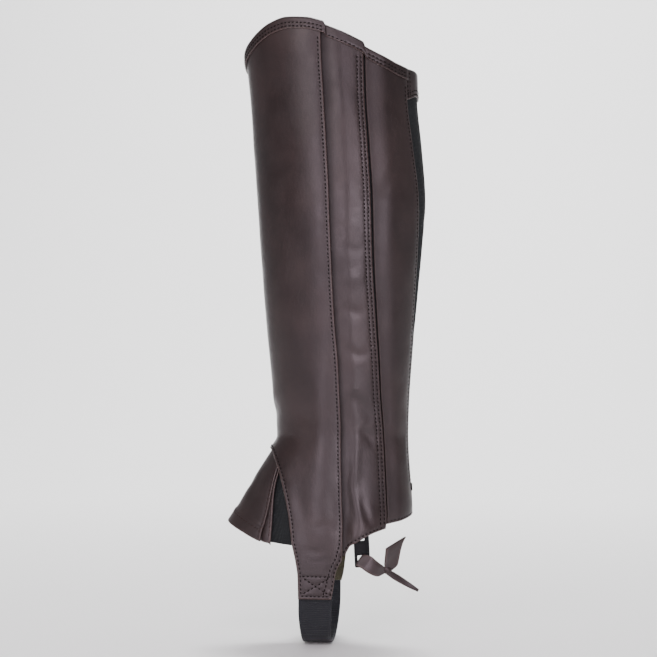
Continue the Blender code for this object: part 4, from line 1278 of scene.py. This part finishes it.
def make_flare_ends(name, side):
    """The narrow strip and the elastic gusset at one end of the flare."""
    top, foot, tuck = 146.0, 79.5, -2.6
    skin = Skin(strip_face)
    inner = upright(flare_edge, top, 82.0, tuck)
    hem = level(FLARE_HEM, float(flare_edge(82.0)) + tuck, float(strip_edge(foot)), 0.3)
    outer = upright(strip_edge, foot, top)
    outline = [inner, hem, outer, straight(outer[-1], inner[0])]
    row = edge_row(strip_edge, 86.0, 140.0, -1.8)

    gusset = Skin(gusset_face, [(-0.4, 3.0, [(58, 124), (62, 104), (66, 88)])])
    lap = upright(strip_edge, 139.5, 81.0, -5.0)
    low = level(gusset_hem, float(lap[-1, 0]), 71.7 + LAP - 1.0)
    arch = even(level(ARCH, 45.0, 70.5)) + (LAP - 1.0, 2.0)
    wedge = [lap, low, straight(low[-1], arch[-1]), arch[::-1], straight(arch[0], lap[0])]
    under = [upright(strip_edge, 138.5, 84.0, shift) for shift in (0.3, 3.0)]
    if side < 0:
        outline = [mirrored(line) for line in reversed(outline)]
        wedge = [mirrored(line) for line in reversed(wedge)]
        under = [mirrored(line) for line in under]
        row = mirrored(row)
    panel(f"flare_end_strip_{name}", f"flare_strip_{name}", outline, skin, LIGHT_LEATHER,
          LEATHER_LOOKS, [row], grid=1.5)
    stitches(f"flare_strip_sewing_{name}", [(row, skin)], pale_thread, radius=FINE_THREAD)
    panel(f"instep_gusset_{name}", f"gusset_{name}", wedge, gusset, ELASTIC, ELASTIC_LOOKS,
          extra=under)


def make_strap():
    """Ribbed elastic with plain selvages, bent under the boot."""
    line = rounded(STRAP_LINE, 900)
    at = travelled(line)
    stops = np.linspace(0, at[-1], int(at[-1] / 0.26))
    y, height = at_stops(stops, at, line)
    along = unit(np.stack((np.gradient(y), np.gradient(height)), axis=1))
    inset = np.array([0.15, 0.5, 1.2, SELVAGE])
    ribs = np.linspace(STRAP_FRONT + SELVAGE + 0.4, STRAP_BACK - SELVAGE - 0.4, 14)
    spots = np.concatenate((STRAP_FRONT + inset, ribs, STRAP_BACK - inset[::-1]))
    thick = np.full(len(spots), STRAP / 2)
    thick[[0, -1]] = STRAP * 0.22
    thick[[1, -2]] = STRAP * 0.42
    ribbed = ramp(spots, STRAP_FRONT + SELVAGE - 0.2, STRAP_FRONT + SELVAGE + 0.6)
    ribbed = ribbed * (1 - ramp(spots, STRAP_BACK - SELVAGE - 0.6, STRAP_BACK - SELVAGE + 0.2))
    middle, shin, half = (float(side(50.0)) for side in (MIDDLE, SHIN, HALF))
    sag = half * (1 - np.sqrt(1 - ((spots - middle) / (middle - shin)) ** 2))
    rings = []
    for stop, y_here, z, (step_y, step_z) in zip(stops, y, height, along):
        curve = ramp(z, 6.0, 34.0)
        rib = RIB_RISE * (np.sin(2 * math.pi * stop / RIB_PITCH) - 1) * ribbed
        narrow = STRAP_MIDDLE + (spots - STRAP_MIDDLE) * (0.86 + 0.14 * ramp(z, -4.0, 30.0))
        faces = []
        for side in (1, -1):
            reach = side * (thick + rib) - curve * sag
            face = np.stack((narrow, y_here + step_z * reach, z - HOLD_HEIGHT - step_y * reach), axis=1)
            faces.append(face[::side])
        rings.append(np.vstack(faces) * MM)
    mesh = sweep_mesh("underfoot_strap", rings)
    strap = put("underfoot_strap", mesh, "strap_underfoot", [strap_cloth])


def sew_strap():
    """The box sewn through the strap's inner end."""
    end_y, end_height = np.array(STRAP_LINE[-3:]).T

    def face(angle, height):
        return np.interp(height, end_height, end_y) + STRAP / 2 + 0.15 - HALF(height)
    left, right, low, high = -90.2, -77.4, INNER_TAB_END + 2.2, 58.0
    corners = [(left, low), (right, low), (right, high), (left, high)]
    box = [straight(corners[i], corners[j]) for i, j in ((0, 1), (3, 2), (0, 3), (1, 2), (0, 2), (3, 1))]
    stitches("strap_end_sewing", [(even(line, FINE_STEP), face) for line in box], thread)


def degrees(length, angle, height):
    """The turn round the leg that a length covers at the depth of the zip."""
    step = on_leg(angle + 1, height, TAPE_OUTER) - on_leg(angle, height, TAPE_OUTER)
    return length * MM / np.linalg.norm(step, axis=-1)


def make_tape(name, side, far_edge, far_top, shoulder):
    """A woven tape from the teeth, or the slider, to its edge under a panel."""
    def near_edge(height):
        below = height < SLIDER_TOP + 1.5
        reach = np.where(below, SLIDER_WIDTH / 2 + 2 * ZIP_GAP, CHAIN_WIDTH / 2 + ZIP_GAP)
        return zip_line(height) + side * degrees(reach, zip_line(height), height)
    near = upright(near_edge, TAPE_TOP, TAPE_END)
    far = upright(far_edge, TAPE_END + TAPE_RISE, far_top)
    outline = [near, straight(near[-1], far[0]), far, straight(far[-1], shoulder, near[0])]
    if side < 0:
        outline = [line[::-1] for line in reversed(outline)]
    panel(f"{name}_zip_tape", f"zip_tape_{name}", outline, Skin(tape_face), TAPE, TAPE_LOOKS,
          grid=3.0)


def make_teeth():
    """Interlocked teeth, in turn from the one tape and the other."""
    middle = TAPE_OUTER - TAPE / 2
    tall, deep = TOOTH_HALF
    points, faces = [], []
    for k, height in enumerate(np.arange(SLIDER_TOP + 1.4, TAPE_TOP - 0.6, TOOTH_PITCH / 2)):
        side = 1 if k % 2 else -1
        centre = zip_line(height)
        for reach in (-0.35, TOOTH):
            angle = centre + side * degrees(reach, centre, height)
            for up, out in ((-tall, -deep), (tall, -deep), (tall, deep), (-tall, deep)):
                points.append(on_leg(angle, height + up, middle + out))
        faces += tube_faces(2, 4, 8 * k)
    mesh = reshaped(mesh_from("zip_teeth", points, faces), rounding=0.28)
    put("zip_teeth", mesh, "zip_chain", [metal])


def pull_frame():
    """Frame of the zip pull: X along its hinge, Y towards the leg, Z up."""
    angle = float(zip_line(PIVOT_HEIGHT))
    along = leg_steps(angle, PIVOT_HEIGHT, 1)[0]
    along = Vector((along[0], along[1], 0)).normalized()
    up = Vector((0, 0, 1))
    turn = Matrix((along, up.cross(along), up)).transposed().to_4x4()
    turn.translation = Vector(on_leg(angle, PIVOT_HEIGHT, PIVOT_OFFSET))
    return turn


def in_pull_frame(points):
    """Points of the pull's frame, in millimetres, as metres from the origin."""
    turn = np.array(pull_frame())
    return (np.array(points) @ turn[:3, :3].T) * MM + turn[:3, 3]


def prism(name, outline, width, rounding, node=None):
    """A side view given its width along the hinge, in the pull's frame."""
    rings = [[(side * width, out, up) for out, up in outline] for side in (-0.5, 0.5)]
    mesh = reshaped(sweep_mesh(name, in_pull_frame(rings)), rounding=rounding)
    put(name, mesh, node, [metal])


def plate(name, outlines, thickness, rounding, turn, node=None):
    """A flat metal plate from an outline and its holes, with rounded edges."""
    curve = bpy.data.curves.new(name, "CURVE")
    curve.dimensions = "2D"
    curve.fill_mode = "BOTH"
    curve.extrude = (thickness / 2 - rounding) * MM
    curve.bevel_depth = rounding * MM
    curve.bevel_resolution = 2
    curve.offset = -rounding * MM
    for outline in outlines:
        spline = curve.splines.new("POLY")
        spline.points.add(len(outline) - 1)
        for point, (x, y) in zip(spline.points, outline):
            point.co = (x * MM, y * MM, 0, 1)
        spline.use_cyclic_u = True
    guide = linked(name, curve)
    mesh = bpy.data.meshes.new_from_object(guide.evaluated_get(bpy.context.evaluated_depsgraph_get()))
    bpy.data.objects.remove(guide)
    bpy.data.curves.remove(curve)
    mesh.name = name
    reshaped(mesh, weld=True)
    mesh.materials.clear()
    mesh.transform(turn)
    put(name, mesh, node, [metal], "zip_pull")
    mesh.set_sharp_from_angle(angle=math.radians(35))


def rounded_box(half, low, high, radius=0.8):
    """A box with round corners, from half of its width and its two heights."""
    outline = []
    corners = [(1, high - radius), (-1, high - radius), (-1, low + radius), (1, low + radius)]
    for k, (side, y) in enumerate(corners):
        for i in range(6):
            turn = math.radians(90 * k + 18 * i)
            outline.append((side * (half - radius) + radius * math.cos(turn), y + radius * math.sin(turn)))
    return outline


def make_pull():
    """The slider under the guard, and the pull tab with its raised rim and two slots."""
    prism("zip_slider_body", SLIDER_BODY, SLIDER_WIDTH, 0.5, "zip_slider")
    prism("zip_slider_bridge", SLIDER_BRIDGE, BRIDGE_WIDTH, 0.25)

    tilt = Matrix.Rotation(-math.radians(PULL_TILT), 4, "Y")
    turn = pull_frame() @ tilt @ Matrix.Rotation(math.radians(90), 4, "X")
    half, inside = PULL_WIDTH / 2, PULL_WIDTH / 2 - PULL_RIM
    low, high = PULL_WINDOW
    outlines = [rounded_box(half, -PULL_DROP, PULL_BAR, 1.2), rounded_box(inside, low, high)]
    outlines += [rounded_box(width / 2, bottom, top) for width, bottom, top in PULL_SLOTS]
    plate("zip_pull_tab", outlines, PULL_THICK, 0.3, turn, "zip_pull")
    grown = rounded_box(inside + PANEL_LAP, low - PANEL_LAP, high + PANEL_LAP)
    plate("zip_pull_panel", [grown], PULL_THICK * 0.55, 0.1, turn)


def make_thong():
    """A leather thong through the pull's lower slot, pinched by a knot."""
    edges = rounded(THONG_EDGES, 300)
    one, two = edges[:, :3], edges[:, 3:]
    middle = (one + two) / 2
    wide = np.linalg.norm(two - one, axis=1)
    face = unit(np.cross(np.gradient(middle, axis=0), two - one))
    out = unit(two - one)
    bends = np.radians(np.linspace(-70, 70, 7))
    rows = [(1.0, 0.45 * math.cos(bend) - 0.45, math.sin(bend)) for bend in bends]
    rows += [(reach, 0.0, 1.0) for reach in np.linspace(0.9, -0.9, 9)]
    rows += [(-1.0, 0.45 - 0.45 * math.cos(bend), -math.sin(bend)) for bend in bends]
    rows += [(reach, 0.0, -1.0) for reach in np.linspace(-0.9, 0.9, 9)]
    reach, shift, lift = np.array(rows).T[:, :, None]
    rings = []
    for k in range(len(middle)):
        crown = 0.35 * math.sin(k / 7.0) * min(1.0, wide[k] / THONG_WIDTH)
        curl = crown * (1 - reach * reach) + 0.22 * (np.abs(reach) > 0.85)
        across = out[k] * (reach * wide[k] / 2 + shift)
        rings.append(middle[k] + across + face[k] * (lift * THONG_THICK / 2 + curl))
    mesh = sweep_mesh("leather_thong", in_pull_frame(rings))
    # Rims of the thong lightened as wear and as a painted highlight along its edges.
    rim = 4.0 * (1 - np.abs(reach[:, 0]))
    note(mesh, rim=np.tile(rim, len(middle)), sewn=np.full(len(mesh.vertices), UNSEWN))
    thong = put("leather_thong", mesh, "pull_thong", [upper], "zip_pull")
    make_knot()


def make_knot():
    """A ring of leather pulled tight round the thong's two tails."""
    turn = np.array(Matrix.Rotation(math.radians(KNOT_TURN), 3, "Y"))
    bends = np.linspace(0, 2 * math.pi, 28, endpoint=False)
    rings = []
    for stop in np.linspace(-1.0, 1.0, 9):
        swell = 1.0 - 0.16 * stop ** 4 + 0.05 * np.sin(3 * bends + stop)
        reach = KNOT_REACH * stop + 0.5 * np.sin(bends)
        ring = (reach, KNOT_HALF[0] * swell * np.sin(bends), KNOT_HALF[1] * swell * np.cos(bends))
        rings.append(np.stack(ring, axis=1) @ turn.T)
    rings = rings + [ring * 0.66 for ring in reversed(rings)] + rings[:1]
    mesh = sweep_mesh("thong_knot", in_pull_frame(np.array(rings) + KNOT), False)
    note(mesh, rim=np.full(len(mesh.vertices), 3.0), sewn=np.full(len(mesh.vertices), UNSEWN))
    return put("thong_knot", mesh, None, [upper], "zip_pull")


make_shell()
make_guard()
make_rear()
make_inner()
back_skin = make_back_elastic()
make_cap(back_skin)
make_bar_tack(back_skin)
make_bindings()
make_flare()
make_flare_ends("outer", 1)
make_flare_ends("inner", -1)
make_strap()
sew_strap()
make_tape("front", -1, lambda h: zip_line(h) - 15.0, TAPE_TOP, (90.0, TAPE_TOP))
make_tape("rear", 1, lambda h: rear_edge_front(h) + LAP, 457.5, (119.5, 463.5))
make_teeth()
make_pull()
make_thong()
